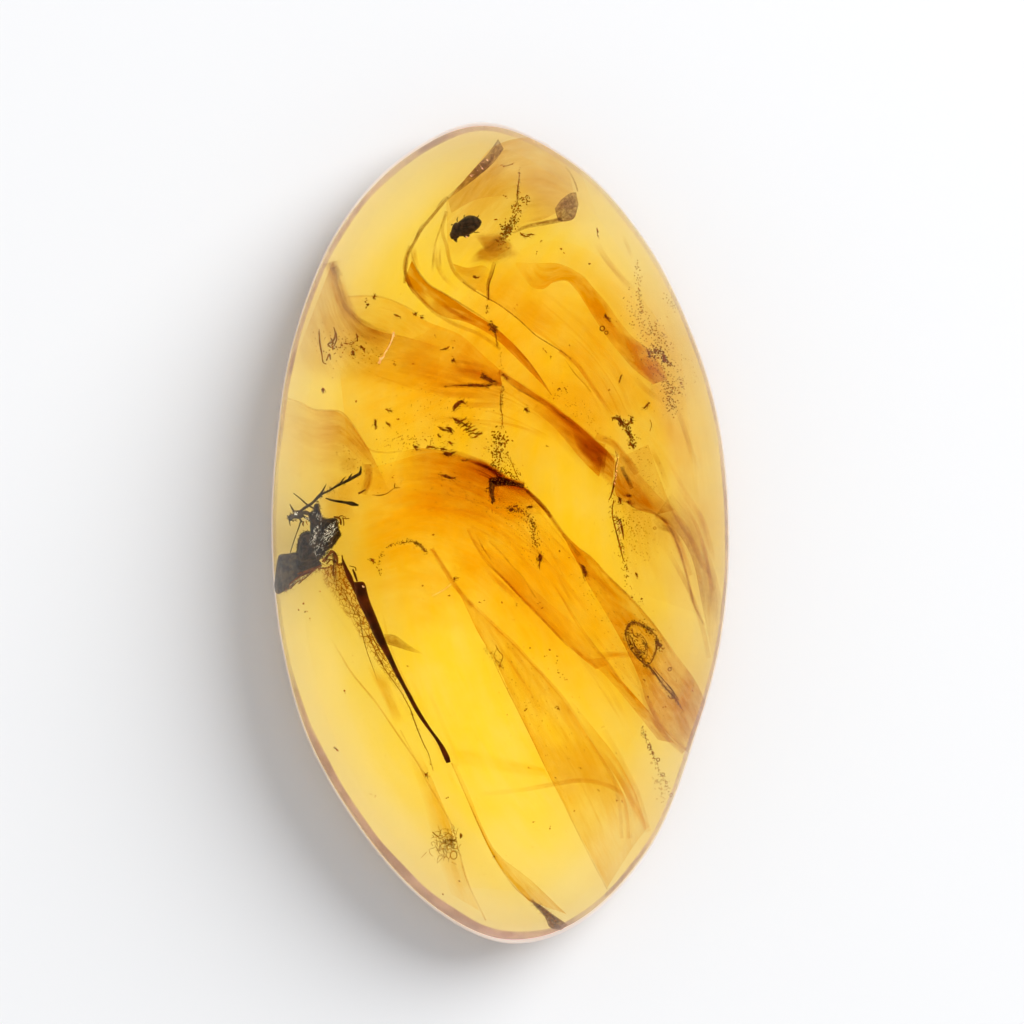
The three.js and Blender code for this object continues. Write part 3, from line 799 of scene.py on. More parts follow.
# %% The long bands
bands = [
    flow([(-0.1, 9.95), (0.9, 9.3), (2.4, 8.3), (3.5, 7.5), (4.6, 6.7), (5.6, 5.8), (6.5, 5.0),
          (7.05, 4.3)],
         [(-0.1, 9.0), (1.0, 8.1), (2.2, 6.9), (3.0, 6.1), (4.0, 4.9), (5.0, 3.9), (5.8, 3.1),
          (6.8, 2.7)],
         (4.8, 4.2, 3.8), (0.95, 0.8, 0.5, 0.35, 0.2, 0.05), 0.85, (0.6, 0.8, 0.9, 1, 1)),
    seam([(-0.1, 9.85), (0.4, 9.5), (1.6, 8.65), (3.0, 7.75), (4.0, 6.95), (5.1, 6.1), (6.0, 5.2),
          (6.9, 4.5)], 0.55, (5.0, 4.4), 0.75, 1.25, (0.7, 1, 1, 0.9)),
    seam([(0.2, 9.45), (1.0, 8.8), (1.8, 8.35), (2.8, 7.75)], 0.16, 5.0, 0.7, 2.3, (0.4, 1, 0.2)),
    seam([(3.0, 7.75), (3.9, 7.0), (4.8, 6.4)], 0.16, 5.0, 0.6, 2.0, (0.2, 1, 0.2)),
    flow([(4.4, 6.3), (5.4, 5.6), (6.2, 5.0), (6.95, 4.5)],
         [(4.6, 5.3), (5.3, 4.5), (5.9, 3.6), (6.8, 2.8)],
         4.4, (0.6, 0.9, 0.85, 0.1), 1.05, (0.4, 1, 1, 1)),
    flow([(5.6, 5.3), (6.1, 4.9), (6.6, 4.6)], [(5.8, 4.4), (6.1, 3.9), (6.6, 3.6)],
         4.6, (0, 0.7, 0), 1.3, (0, 1, 0)),
    seam([(5.8, 5.9), (6.6, 5.6), (7.0, 5.3), (7.4, 4.8), (7.9, 4.2), (8.3, 3.6)], 0.6, 4.8, 0.7,
         1.1, (0.4, 1, 1, 0.6)),
    flow([(7.3, 4.9), (8.0, 4.1), (8.8, 3.2), (9.6, 2.3), (10.6, 1.4)],
         [(6.95, 3.4), (7.0, 2.4), (7.4, 2.0), (8.3, 1.45), (9.4, 1.1)],
         4.0, (0.4, 0.7, 0.8, 0.7), 1.0, (0.9, 1, 0.9, 0.6)),
    flow([(6.85, 4.4), (6.9, 3.4), (6.85, 2.0), (7.1, 0.6), (7.4, -1.2), (8.2, -3.6)],
         [(9.0, 5.4), (9.6, 3.6), (10.4, 1.6), (11.2, 0.0), (11.8, -1.8), (12.4, -5.0)],
         3.0, (0.35, 0.3, 0.25, 0.25), 0.9, (0.8, 1, 0.8, 0.5, 0.2)),
    seam([(7.4, 4.05), (7.5, 3.7), (7.8, 3.2), (8.0, 2.7)], 0.34, 5.0, 0.9, 2.9, (0.7, 1, 0.6)),
    flow([(1.9, 2.2), (2.7, 1.5), (3.7, 0.2), (4.8, -0.9), (5.6, -1.5), (6.5, -2.5), (8.0, -4.0),
          (9.4, -5.6), (10.7, -7.4), (11.8, -8.9), (12.5, -10.3)],
         [(2.4, 1.6), (3.0, 1.05), (3.8, -0.2), (4.4, -1.3), (4.9, -2.2), (5.4, -3.2), (6.6, -5.2),
          (7.7, -7.2), (8.5, -9.0), (8.85, -10.2), (9.6, -11.6), (11.4, -13.4)],
         (4.6, 4.0, 3.2), (0.75, 0.85, 0.85, 0.8, 0.7), (1.4, 0.8, 0.6, 0.7, 0.9, 1.2),
         (1, 1, 0.9, 0.85, 0.8, 0.6)),
    seam([(7.7, -7.2), (8.5, -9.0), (8.9, -10.3), (9.6, -11.6), (10.4, -12.6), (11.2, -13.3)], 0.6,
         3.4, 0.55, 1.2, (0, 0.6, 1, 1)),
    flow([(2.2, 7.9), (3.4, 7.4), (4.6, 6.55), (5.3, 5.8), (6.4, 5.4)],
         [(2.0, 7.5), (3.3, 6.4), (4.2, 5.35), (5.0, 4.4), (6.0, 3.4)],
         4.5, (0.4, 0.62, 0.68, 0.7), 0.75, (0.3, 0.7, 0.9, 1)),
    flow([(4.3, 6.3), (5.2, 5.5), (5.9, 5.2), (6.5, 5.1)],
         [(4.6, 5.2), (5.2, 4.5), (5.8, 3.9), (6.3, 3.5)],
         4.3, (0.3, 0.8, 0.8, 0.3), 1.1, (0, 0.8, 1, 0.9)),
    seam([(1.6, 2.6), (2.4, 1.85), (3.1, 0.95), (3.7, 0.1), (4.3, -0.7), (4.8, -1.4)], 0.34, 5.0,
         0.9, 2.0, (0.8, 1, 1, 0.5)),
    seam([(4.8, -0.95), (5.6, -1.6), (6.5, -2.6), (8.0, -4.05), (9.4, -5.7), (10.6, -7.5)], 0.2,
         4.8, 0.5, 1.8, (0.2, 0.7, 1, 1, 0.4)),
    seam([(5.0, -2.2), (6.0, -2.9), (7.2, -4.2)], 0.5, 4.6, 0.4, 1.2, (0, 1, 0)),
    seam([(8.0, 1.4), (8.9, 1.4), (9.5, 1.1), (10.1, 0.6), (10.7, -0.5), (11.1, -1.7),
          (11.5, -3.2), (11.8, -4.4), (12.4, -5.6)], 0.2, 4.0, 0.8, 1.7, (0.3, 1, 1, 1, 0.5)),
    seam([(8.9, 1.4), (9.8, 0.9), (10.5, 0.0), (11.0, -1.1), (11.5, -2.6)], 0.6, 3.9, 0.5, 1.1,
         (0, 1, 1, 0.4)),
    flow([(9.4, 1.0), (10.4, 0.4), (11.2, -0.6), (11.8, -2.0), (12.2, -4.0), (12.6, -6.0)],
         [(10.4, 2.4), (11.4, 1.2), (12.4, -0.6), (13.2, -2.8), (13.5, -5.0), (13.0, -8.0)],
         3.0, (0.65, 0.55, 0.4, 0.2), 1.65, (0.6, 1, 1, 0.9, 0.4)),
    seam([(9.4, 0.9), (9.8, 0.4), (10.4, 0.15), (11.0, -0.5)], 0.5, 4.0, 0.6, 1.8, (0.3, 1, 0.3)),
    seam([(10.0, 2.4), (10.6, 1.2), (11.3, 0.2), (11.9, -1.0), (12.5, -2.3), (13.0, -3.5)], 0.5,
         3.6, 0.5, 1.2, (0, 1, 1, 0.4)),
    seam([(9.8, -0.5), (10.6, -1.8), (11.4, -3.3), (12.0, -4.8), (12.4, -6.2), (12.7, -7.6)], 0.4,
         3.6, 0.4, 1.4, (0, 1, 1, 0.6)),
]
piece("long_bands", bands, FLOW)

# %% [markdown]
# ## The fan of flows in the lower half
#
# Below the middle the flows fan out towards the lower right and hang low in the stone. Their
# tints are light, and their edges show as fine straight lines.

# %% The lower flows
fan = [
    flow([(-2.1, 0.3), (-1.4, -1.0), (-0.3, -2.3), (0.9, -3.6), (2.2, -4.9), (3.4, -6.1),
          (4.6, -7.3), (5.8, -8.3)],
         [(-1.6, 0.4), (-0.6, -0.9), (0.6, -2.0), (2.0, -3.4), (3.6, -4.8), (4.8, -5.9),
          (5.7, -7.0), (6.6, -8.0)],
         (3.6, 3.0, 2.6), (0.8, 0.55, 0.4, 0.3), 0.6, (0.3, 0.8, 0.9, 1)),
    flow([(5.2, -7.7), (6.4, -8.7), (8.0, -10.6), (9.6, -12.6)],
         [(6.2, -7.6), (7.2, -8.8), (8.9, -10.7), (10.6, -12.8)],
         (2.8, 2.2), (0.45, 0.6, 0.75, 0.7), (0.5, 0.7, 1.1), (0.8, 1, 1, 0.8)),
    seam([(-2.0, 0.2), (-1.6, -0.6), (-0.9, -1.7), (0.3, -2.9), (1.5, -4.2), (2.8, -5.5),
          (4.0, -6.75), (5.0, -7.5)], 0.2, 3.8, 0.8, 1.6, (0.4, 0.8, 1, 1, 0.4)),
    seam([(-1.5, -0.1), (-1.0, -1.0), (-0.4, -1.9)], 0.12, 4.0, 0.7, 1.9, (0, 1, 0.2)),
    seam([(-1.3, -1.5), (-0.5, -2.6), (0.8, -3.8), (1.8, -4.7)], 0.4, 3.4, 0.5, 0.9, (0, 1, 0)),
    seam([(-0.7, -0.5), (0.0, -1.15), (0.7, -2.0), (1.3, -2.6), (1.8, -3.4), (2.15, -3.95)], 0.12,
         4.2, 0.7, 2.0, (0.3, 0.8, 1)),
    seam([(3.9, -5.0), (5.0, -6.0), (5.8, -7.0), (6.6, -8.0), (7.4, -9.1), (8.2, -10.1)], 0.2, 3.0,
         0.5, 1.3, (0.2, 1, 1, 0.4)),
    flow([(5.9, -7.3), (7.0, -7.2), (8.0, -7.3)], [(6.4, -7.8), (7.2, -7.65), (8.1, -7.6)],
         2.8, (0.3, 0.6, 0.2), 0.6, (0.6, 1, 0.8)),
    flow([(-4.3, -0.9), (-3.5, -2.1), (-2.4, -3.9), (-1.5, -5.8), (-0.2, -8.1), (1.2, -11.1),
          (2.8, -14.4), (4.7, -18.1), (6.5, -21.6)],
         [(-4.0, -1.1), (-2.9, -2.8), (-1.6, -4.5), (0.0, -6.0), (1.6, -7.6), (3.6, -9.9),
          (5.5, -12.6), (7.5, -16.0), (8.0, -19.2)],
         (3.4, 2.6, 2.0), (0.62, 0.42, 0.4, 0.45, 0.55), (1.0, 0.7, 0.5, 0.4),
         (1, 0.95, 0.8, 0.75, 0.75, 0.6)),
    seam([(-4.2, -0.95), (-3.5, -2.05), (-2.9, -3.0), (-2.3, -3.8), (-1.7, -4.5)], 0.4, 3.6, 0.75,
         1.2, (0.4, 1, 0.4)),
    seam([(-2.0, -4.1), (-1.0, -5.0), (0.0, -6.0), (0.8, -6.7), (1.6, -7.6), (2.8, -8.9),
          (4.0, -10.3), (5.2, -12.1)], 0.3, 2.8, 0.45, 0.9, (0.8, 1, 0.9, 0.5)),
    seam([(2.6, -8.9), (3.6, -10.3), (4.4, -11.5), (5.2, -12.9)], 0.9, 2.4, 0.35, 0.5, (0, 1, 0)),
    seam([(-1.5, -5.8), (-0.7, -7.2), (0.1, -8.9), (1.2, -11.1), (1.9, -12.5), (2.8, -14.4),
          (4.0, -16.8), (5.4, -19.6), (6.5, -21.7)], 0.1, 2.8, 0.6, 1.5, (0.6, 1, 0.8, 0.7, 0.7)),
    seam([(5.2, -12.1), (6.2, -13.8), (6.9, -15.1), (7.25, -16.7), (7.4, -18.6)], 0.3, 2.6, 0.25,
         1.4, (0.5, 1, 1, 0.7)),
    flow([(4.4, -10.3), (5.6, -11.8), (7.0, -13.6), (8.2, -15.8), (8.9, -18.0)],
         [(4.0, -10.4), (5.2, -12.1), (6.4, -13.9), (7.7, -16.2), (8.0, -19.2)],
         2.2, (0.5, 0.35, 0.3), 0.6, (0.2, 0.8, 1, 0.8)),
    seam([(6.3, -12.0), (7.0, -13.2), (7.7, -14.6), (8.3, -15.8), (9.0, -18.2)], 0.5, 2.4, 0.25,
         0.7, (0.3, 1, 0.8)),
    seam([(-1.2, -15.9), (1.2, -15.65), (3.2, -15.3), (4.2, -15.12), (5.2, -15.08), (6.3, -15.3),
          (7.2, -15.75), (7.65, -16.6), (7.85, -18.6)], 0.4, 2.6, 0.42, 0.8,
         (0.1, 0.3, 0.8, 1, 1, 0.7, 0.5)),
    flow([(1.8, -12.4), (3.2, -12.4), (4.6, -12.4), (6.2, -13.2)],
         [(3.2, -15.3), (4.6, -15.1), (6.0, -15.25), (7.5, -16.0)],
         2.5, (0, 0.08, 0.14, 0.2), 0.45, (0.8, 1, 1, 0.8)),
    seam([(5.6, -13.0), (6.5, -13.9), (7.5, -15.4), (8.4, -17.1), (8.9, -18.0)], 0.5, 2.5, 0.4, 0.5,
         (0.2, 1, 1, 0.6)),
    flow([(-4.6, -12.6), (-2.0, -13.0), (1.0, -13.8), (2.6, -14.2)],
         [(-4.0, -14.6), (-1.6, -14.4), (1.4, -14.9), (2.9, -14.9)],
         2.2, (0, 0.3, 0.2, 0), 0.0, (0, 0.8, 1, 1)),
    flow([(-3.0, -14.0), (-2.3, -15.6), (-1.5, -17.4), (-0.7, -19.2), (0.3, -20.8), (1.7, -22.4)],
         [(-2.7, -14.1), (-1.9, -15.9), (-1.1, -17.9), (-0.1, -19.6), (1.8, -21.1), (4.0, -23.2)],
         (2.8, 2.4), (0.75, 0.55, 0.5, 0.6), 0.5, (0.4, 0.6, 0.9, 1, 1)),
    seam([(-3.0, -14.0), (-2.6, -14.9), (-1.9, -16.5), (-1.1, -18.3), (-0.3, -19.9), (0.8, -21.5),
          (1.8, -22.4)], 0.12, 3.0, 0.65, 1.6, (0.6, 1, 1, 0.8)),
    flow([(-6.4, -12.2), (-5.4, -14.2), (-4.6, -16.6), (-4.0, -19.2), (-3.0, -22.0)],
         [(-5.2, -12.6), (-4.2, -14.9), (-3.2, -17.4), (-2.4, -20.0), (-1.3, -23.0)],
         2.2, (0.1, 0.3, 0.45, 0.4), 0.35, (0, 1, 1, 0.7)),
    seam([(-6.1, -12.0), (-5.0, -14.1), (-4.5, -15.1), (-3.5, -16.8), (-2.9, -18.0), (-2.3, -20.3),
          (-1.9, -21.5), (-0.9, -23.6)], 0.14, 2.8, 0.5, 1.5, (0.5, 0.8, 1, 0.8)),
    seam([(-10.6, -6.0), (-9.8, -7.3), (-9.0, -8.6), (-7.6, -10.3), (-6.5, -11.9), (-5.6, -13.2),
          (-4.6, -14.7)], 0.16, 3.2, 0.5, 1.5, (0, 0.7, 1, 1, 0.6)),
    flow([(-8.4, -8.0), (-7.8, -9.0), (-7.0, -10.6), (-6.4, -12.0)],
         [(-6.8, -8.2), (-6.6, -9.2), (-6.2, -10.4), (-5.8, -11.6)],
         2.8, (0, 0.5, 0.45, 0), 0.5, (0, 1, 0.8, 0)),
    flow([(-7.1, -6.15), (-6.4, -6.25), (-5.6, -6.8), (-4.7, -7.35)],
         [(-6.95, -6.75), (-6.3, -6.95), (-5.5, -7.2), (-4.7, -7.4)],
         3.2, (0.6, 1, 0.7), 1.9, (0.9, 1, 0.8, 0.1)),
    flow([(1.75, -22.3), (2.4, -22.65), (3.2, -23.25), (4.1, -23.85)],
         [(2.1, -22.75), (2.7, -23.4), (3.0, -24.0), (3.7, -24.2)],
         3.6, (0.9, 1, 1, 0.9), 2.6, (0.6, 1, 1, 1), dip=0.2),
    flow([(1.9, -22.4), (2.6, -22.8), (3.3, -23.3), (3.9, -23.7)],
         [(2.1, -22.7), (2.8, -23.3), (3.1, -23.9), (3.6, -24.1)],
         3.7, (0.6, 0.9, 0.8, 0.4), 2.3, (0.5, 1, 1, 1), dip=0.2),
]
piece("lower_fan", fan, FLOW)

# %% [markdown]
# ## The painted rim shade
#
# From above, a dusty pink-brown line runs round the whole outline, widest at the lower left: the
# shade and reflection that the steep wall just above the girdle shows. It is painted as a
# see-through tinted band just under the surface, from the girdle up to a height that changes
# round the stone. Over it, a thin pale ring that glows is a painted highlight for the light
# caught in the polished edge.

# %% The rim's band of painted shade
def crown_share(height):
    """The crown's share of the outline at a height: the superellipse solved for its other side."""
    rise = np.clip((height - GIRDLE_HEIGHT) / (STONE_HEIGHT - GIRDLE_HEIGHT), 0, 1)
    return (1 - rise**2) ** (1 / CROWN_ROUNDNESS)


def near_wall(height, inset):
    """The outline's points drawn in to the wall at a height, and then inwards by the inset."""
    share = crown_share(height)
    flat = OUTLINE * share[..., None] + APEX * (1 - share)[..., None] - unit(OUTLINE) * inset
    return np.concatenate([flat, np.broadcast_to(height[..., None], (*flat.shape[:-1], 1))], -1)


def rim_shade_band(rows=22, columns=720, inset=0.05 * MM):
    """Rows climb the wall to a top. The painted shade is heaviest and reaches highest where the
    outline faces down and to the left, light along the right side, and faint along the left and top."""
    facing = unit(OUTLINE)
    to_lower_left, to_right, to_top_left = np.array([(-0.42, -0.907), (0.85, -0.5), (-0.55, 0.84)])
    heavy = np.clip((facing @ to_lower_left - 0.84) / 0.12, 0, 1)
    right = np.clip(facing @ to_right + 0.25, 0, 1)
    top_left = np.clip((facing @ to_top_left - 0.75) / 0.2, 0, 1)
    wave = np.arange(columns) * 2 * math.pi / columns
    ragged = 0.5 * np.sin(11 * wave) * np.sin(4 * wave + 1) + 0.3 * np.sin(29 * wave + 2)
    low, top = 3.75 * MM, MM * (4.5 + 0.45 * heavy + 0.15 * top_left + 0.12 * ragged)
    v = np.linspace(0, 1, rows)[:, None]
    rings = near_wall(low + (top - low) * v, inset)
    rings = np.concatenate([rings, rings[:, :1]], 1)
    run = np.r_[0, np.cumsum(np.linalg.norm(np.diff(rings[0], axis=0), axis=1))] / MM
    deep = 0.22 + 0.62 * right + 0.75 * top_left + 1.2 * heavy
    deep = np.r_[deep, deep[:1]]
    cover = eased((0.35, 0.9, 1, 1, 0.8, 0), v) * deep
    return sheet(rings, cover=cover, run=run[None], side=rings[..., 2] / MM)


def rim_shade_finish():
    """Clear mixed with a dusty tint of painted shade by the cover, which clouds and fine specks
    break up.
    """
    material, wire = blank("painted_rim_shade")
    cover, run, side = (mark(wire, name) for name in ("cover", "run", "side"))
    place = wire.node("TexCoord", output="Object")
    cloud, speck = noise(place, 330.0, 4.0), noise(place, 2200.0, 4.0)
    strength = (cover * (0.55 + 0.4 * cloud.ramp(0.35, 0.65) + 0.3 * speck)).held()
    tint = blended(wire, cloud.ramp(0.4, 0.62), (0.66, 0.50, 0.86, 1), (0.50, 0.36, 0.60, 1))
    return film(material, strength, tint)


piece("painted_rim_shade", rim_shade_band(), rim_shade_finish())

# %% [markdown]
# ## Shapes for the sealed things
#
# Five closed shapes make every creature and crumb. A `thread` is a round tube along a drawn
# path: legs, hairs, veins. A `blade` is a flat lens between two drawn edges: a folded wing. A
# `pod` is a swollen body inside a drawn outline: a head or a thorax. `grains` are hundreds of
# eight-faced crumbs at once, and `bristles` hundreds of thin spikes. All are drawn as seen and
# put at a level by `seen_at`.

# %% Threads, blades, pods, grains and splinters
def across(ahead):
    """Two directions across each given one: one level, and one upright to it."""
    aside = unit(np.cross(ahead, (0, 0, 1)))
    return aside, np.cross(aside, ahead)


def loose(points, fans):
    """Many small closed shapes at once: their points, and the triangles of the first of them,
    which the others repeat on their own points."""
    count, corners = points.shape[:2]
    fans = fans[None] + corners * np.arange(count)[:, None, None]
    return SimpleNamespace(points=points.reshape(-1, 3), quads=np.zeros((0, 4), int),
                           fans=fans.reshape(-1, 3), marks={})


def thread(path, radius, level, rows=14, sides=6):
    """Rings about a smooth path. Across each ring run two directions: one level, one upright to
    it and to the path. The radius and the level run through evenly spaced stops."""
    u = np.linspace(0, 1, rows)
    middle = seen_at(smooth_curve(path, rows), eased(level, u))
    aside, upright = across(unit(np.gradient(middle, axis=0)))
    turn = np.linspace(0, 2 * math.pi, sides, endpoint=False)[:, None]
    reach = (eased(radius, u) * MM)[:, None, None]
    rings = middle[:, None] + reach * (np.cos(turn) * aside[:, None]
                                       + np.sin(turn) * upright[:, None])
    return skin(rings)


def blade(left, right, thickness, level, rows=60, sides=14):
    """Every cross-section is an ellipse from one drawn edge to the other, as thick as told."""
    left, right = smooth_curve(left, rows), smooth_curve(right, rows)
    turn = np.linspace(0, 2 * math.pi, sides, endpoint=False)
    middle, half = (left + right) / 2, (right - left) / 2
    flat = middle[:, None] + half[:, None] * np.cos(turn)[:, None]
    u = np.linspace(0, 1, rows)[:, None]
    return skin(seen_at(flat, eased(level, u) + eased(thickness, u) / 2 * np.sin(turn)))


def pod(outline, thickness, level, lumps=0.0, seed=0, sides=44, rings=16):
    """The drawn outline shrinks to its middle by the sine of an angle, while the level rises and
    falls by the cosine. Lumps are a few sine waves round the body, out of step by the seed."""
    phase = np.random.default_rng(seed).uniform(0, 2 * math.pi, 3)
    edge = smooth_curve(outline, sides, closed=True)
    middle = edge.mean(0)
    tilt = np.linspace(0, math.pi, rings + 2)[1:-1, None]
    turn = np.linspace(0, 2 * math.pi, sides, endpoint=False)[None]
    wave = sum(np.sin(k * turn + 2 * k * tilt + p) for k, p in zip((3, 5, 8), phase)) / 3
    share = np.sin(tilt) * (1 + lumps * wave * np.sin(tilt))
    flat = middle + (edge - middle) * share[..., None]
    lift = thickness / 2 * np.cos(tilt) * (1 + 1.5 * lumps * wave)
    return skin(seen_at(flat, level + lift))


def grains(flat, level, size, seed, stretch=1.0):
    """Each grain is an octahedron whose corners are pushed in or out, drawn out one way and
    turned at random about the upright axis."""
    random = np.random.default_rng(seed)
    count = len(flat)
    corners = np.array([(1, 0, 0), (0, 1, 0), (-1, 0, 0), (0, -1, 0), (0, 0, 1), (0, 0, -1)])
    lumps = corners * random.uniform(0.55, 1.25, (count, 6, 1)) * (stretch, 1, 0.8)
    turn = random.uniform(0, 2 * math.pi, (count, 1))
    x, y, z = np.moveaxis(lumps, -1, 0)
    turned = np.stack([x * np.cos(turn) - y * np.sin(turn), x * np.sin(turn) + y * np.cos(turn),
                       z], -1)
    size = np.broadcast_to(size, count)[:, None, None] * MM
    points = seen_at(flat, level)[:, None] + turned * size
    equator = np.arange(4)
    after = np.roll(equator, -1)
    caps = np.concatenate([np.stack([equator, after, np.full(4, 4)], -1),
                           np.stack([after, equator, np.full(4, 5)], -1)])
    return loose(points, caps)


def bristles(roots, tips, level, radius=0.02):
    """Each bristle is a thin three-sided spike from its root to its tip."""
    roots, tips = (seen_at(ends, level) for ends in (roots, tips))
    aside, upright = across(unit(tips - roots))
    turn = np.array([0, 2, 4]) * math.pi / 3
    feet = roots[:, None] + radius * MM * (np.cos(turn)[:, None] * aside[:, None]
                                           + np.sin(turn)[:, None] * upright[:, None])
    points = np.concatenate([feet, tips[:, None]], 1)
    return loose(points, np.array([(0, 2, 1), (0, 1, 3), (1, 2, 3), (2, 0, 3)]))


def fringe(path, count, reach, level, seed, closed=False):
    """Bristles rooted at random along a path that lean any way."""
    random = np.random.default_rng(seed)
    samples = 300
    path = smooth_curve(path, samples, closed)
    roots = path[random.integers(0, samples, count)] + random.normal(0, 0.02, (count, 2))
    return bristles(roots, roots + random.normal(0, reach, (count, 2)), level)


def scattered(path, count, spread, seed):
    """Points at random along a smooth path, and off it by a bell curve of the given spread."""
    random = np.random.default_rng(seed)
    samples = 200
    path = smooth_curve(path, samples)
    return path[random.integers(0, samples, count)] + random.normal(0, spread, (count, 2))


# %% [markdown]
# ## Finishes for what is sealed in
#
# Chitin, the insects' shell, is nearly black from outside but lets red light through where it is
# thin, so its colour drifts between a dark brown and a deep red. Bark dust is matte and patchy.
# Both come from one function: two colours mixed by noise, with a bump from the same noise.
# Each also has a faint glow, which is painted light for what it would scatter on from all round.

# %% Chitin, dust and pale things
def matter(name, dark, light, grain, roughness, glow=0.0):
    """Two colours mixed by cloudy noise in the object's own space, with `grain` patches to the
    millimetre. A faint glow is painted light: it stands for light that the thing scatters on
    from all round."""
    material, wire = blank(name)
    place = wire.node("TexCoord", output="Object")
    cloud = noise(place, grain / MM, 5.0)
    share = cloud.ramp(0.35, 0.68)
    colour = blended(wire, share, (*dark, 1), (*light, 1))
    relief = wire.node("Bump", sockets={"Height": cloud, "Strength": 0.5, "Distance": 0.05 * MM})
    shell = wire.node("BsdfPrincipled", sockets={
        "Base Color": colour, "Roughness": roughness + 0.2 * cloud, "Normal": relief,
        "Specular IOR Level": 0.25, "Emission Color": colour, "Emission Strength": glow,
    })
    return finished(material, shell)


# The last number of each finish is its glow, which is painted light.
CHITIN = matter("chitin", (0.012, 0.008, 0.005), (0.07, 0.045, 0.028), 3.5, 0.35, 0.3)
GREY_SHELL = matter("clouded_shell", (0.035, 0.028, 0.018), (0.12, 0.09, 0.055), 2.2, 0.5, 0.35)
BLACK_SHELL = matter("beetle_shell", (0.035, 0.022, 0.014), (0.10, 0.06, 0.035), 5.0, 0.3, 0.3)
RED_WING = matter("folded_wing", (0.035, 0.006, 0.002), (0.11, 0.018, 0.004), 1.2, 0.3, 0.5)
AMBER_LEG = matter("thin_shell", (0.10, 0.03, 0.008), (0.26, 0.09, 0.02), 3.0, 0.4, 0.4)
DUST = matter("bark_dust", (0.10, 0.020, 0.002), (0.32, 0.075, 0.008), 6.0, 0.9, 0.4)
FRASS = matter("fine_frass", (0.09, 0.026, 0.003), (0.27, 0.085, 0.010), 6.0, 0.9, 0.4)
PALE_DUST = matter("grey_dust", (0.14, 0.055, 0.008), (0.36, 0.16, 0.03), 6.0, 0.9, 0.4)
FIBRE_AND_GLINT = matter("pale_fibre_and_glint", (0.75, 0.45, 0.28), (1.0, 0.72, 0.50), 4.0, 0.6, 0.75)
SILVER_GLINT = matter("painted_silver_glint", (0.35, 0.33, 0.31), (1.0, 0.98, 0.95), 9.0, 0.25, 0.9)

# %% The painted highlight in the polished edge
EDGE_HIGHLIGHT = matter("painted_edge_highlight", (0.80, 0.67, 0.64), (0.92, 0.81, 0.78), 0.5, 0.6, 0.75)


def edge_highlight_ring(height=2.75 * MM, drop=0.15 * MM, width=0.95 * MM, inset=0.035 * MM):
    """A thin ring just above the widest line runs inwards from the wall and a little down. Sight
    lines from above that enter the last tenth of a millimetre of the rim come down on it. From
    the side it is seen along its edge, so it nearly vanishes. Its pale, glowing finish is a
    painted highlight for the light caught in the polished edge."""
    thickness = 0.02 * MM
    corners = [(height, 0), (height + thickness, 0),
               (height - drop + thickness, width), (height - drop, width)]
    return hoop(np.stack([near_wall(np.full(len(OUTLINE), level), inset + inward)
                          for level, inward in corners], 1))


piece("painted_edge_highlight", edge_highlight_ring(), EDGE_HIGHLIGHT, smooth=False)

# %% [markdown]
# ## The winged insect
#
# The insect lies against the left rim. Its thorax is a lump with the wing roots on it, its
# abdomen runs off to the lower left and clouds over, and its legs reach up and to the right. The
# front legs are spined. Bodies are pods, and legs are threads that thicken at their joints.

# %% Thorax, head and abdomen
THORAX_EDGE = [
    (-11.65, 1.2), (-11.3, 1.38), (-11.0, 1.25), (-10.85, 0.95), (-10.5, 0.85), (-10.1, 0.9),
    (-9.9, 0.7), (-9.87, 0.3), (-9.75, -0.12), (-9.95, -0.4), (-10.2, -0.8), (-10.5, -1.0),
    (-10.9, -1.5), (-11.3, -1.85), (-11.8, -2.1), (-12.35, -2.2), (-12.4, -1.0), (-12.3, -0.35),
    (-12.1, -0.02), (-11.8, 0.1), (-11.55, 0.12), (-11.5, 0.5), (-11.65, 0.85),
]
thorax = [
    pod(THORAX_EDGE, 1.9, 3.9, lumps=0.05, seed=3, sides=90, rings=26),
    pod([(-11.3, 1.76), (-11.12, 1.78), (-11.05, 1.6), (-11.02, 1.15), (-11.35, 1.15),
         (-11.4, 1.5)], 0.6, 4.2, lumps=0.08, seed=4),
    pod([(-11.5, 0.9), (-11.0, 0.8), (-10.9, 0.1), (-11.1, -0.8), (-11.5, -0.9), (-11.6, 0.1)],
        0.7, 4.75, lumps=0.1, seed=5),
    pod([(-10.6, 0.7), (-10.1, 0.7), (-10.0, 0.1), (-10.4, -0.7), (-10.8, -0.8), (-10.8, 0.1)],
        0.7, 4.75, lumps=0.1, seed=6),
    pod([(-12.2, -0.6), (-11.7, -0.5), (-11.5, -1.0), (-11.7, -1.6), (-12.2, -1.7)], 0.7, 4.5,
        lumps=0.1, seed=7),
    pod([(-11.2, -0.9), (-10.7, -0.9), (-10.8, -1.3), (-11.2, -1.6)], 0.5, 4.6, lumps=0.1, seed=71),
]
piece("insect_thorax", thorax, CHITIN)

abdomen = [
    pod([(-13.45, -1.32), (-12.9, -1.25), (-12.3, -1.2), (-11.6, -1.4), (-11.0, -1.7),
         (-10.95, -1.95), (-11.3, -2.1), (-11.7, -2.3), (-12.2, -2.65), (-12.7, -3.05),
         (-13.1, -3.5), (-13.5, -3.7), (-13.75, -3.4), (-13.7, -2.4), (-13.6, -1.7)], 1.3, 3.3,
        lumps=0.03, seed=8, sides=70),
    pod([(-12.4, -1.4), (-11.8, -1.5), (-11.5, -1.9), (-12.0, -2.3), (-12.5, -2.5),
         (-12.8, -1.9)], 0.8, 3.8, lumps=0.05, seed=9),
    pod([(-13.3, -1.5), (-12.9, -1.5), (-12.8, -2.6), (-13.1, -3.2), (-13.4, -3.1),
         (-13.4, -2.2)], 0.7, 3.7, lumps=0.05, seed=10),
]
piece("insect_abdomen", abdomen, GREY_SHELL)

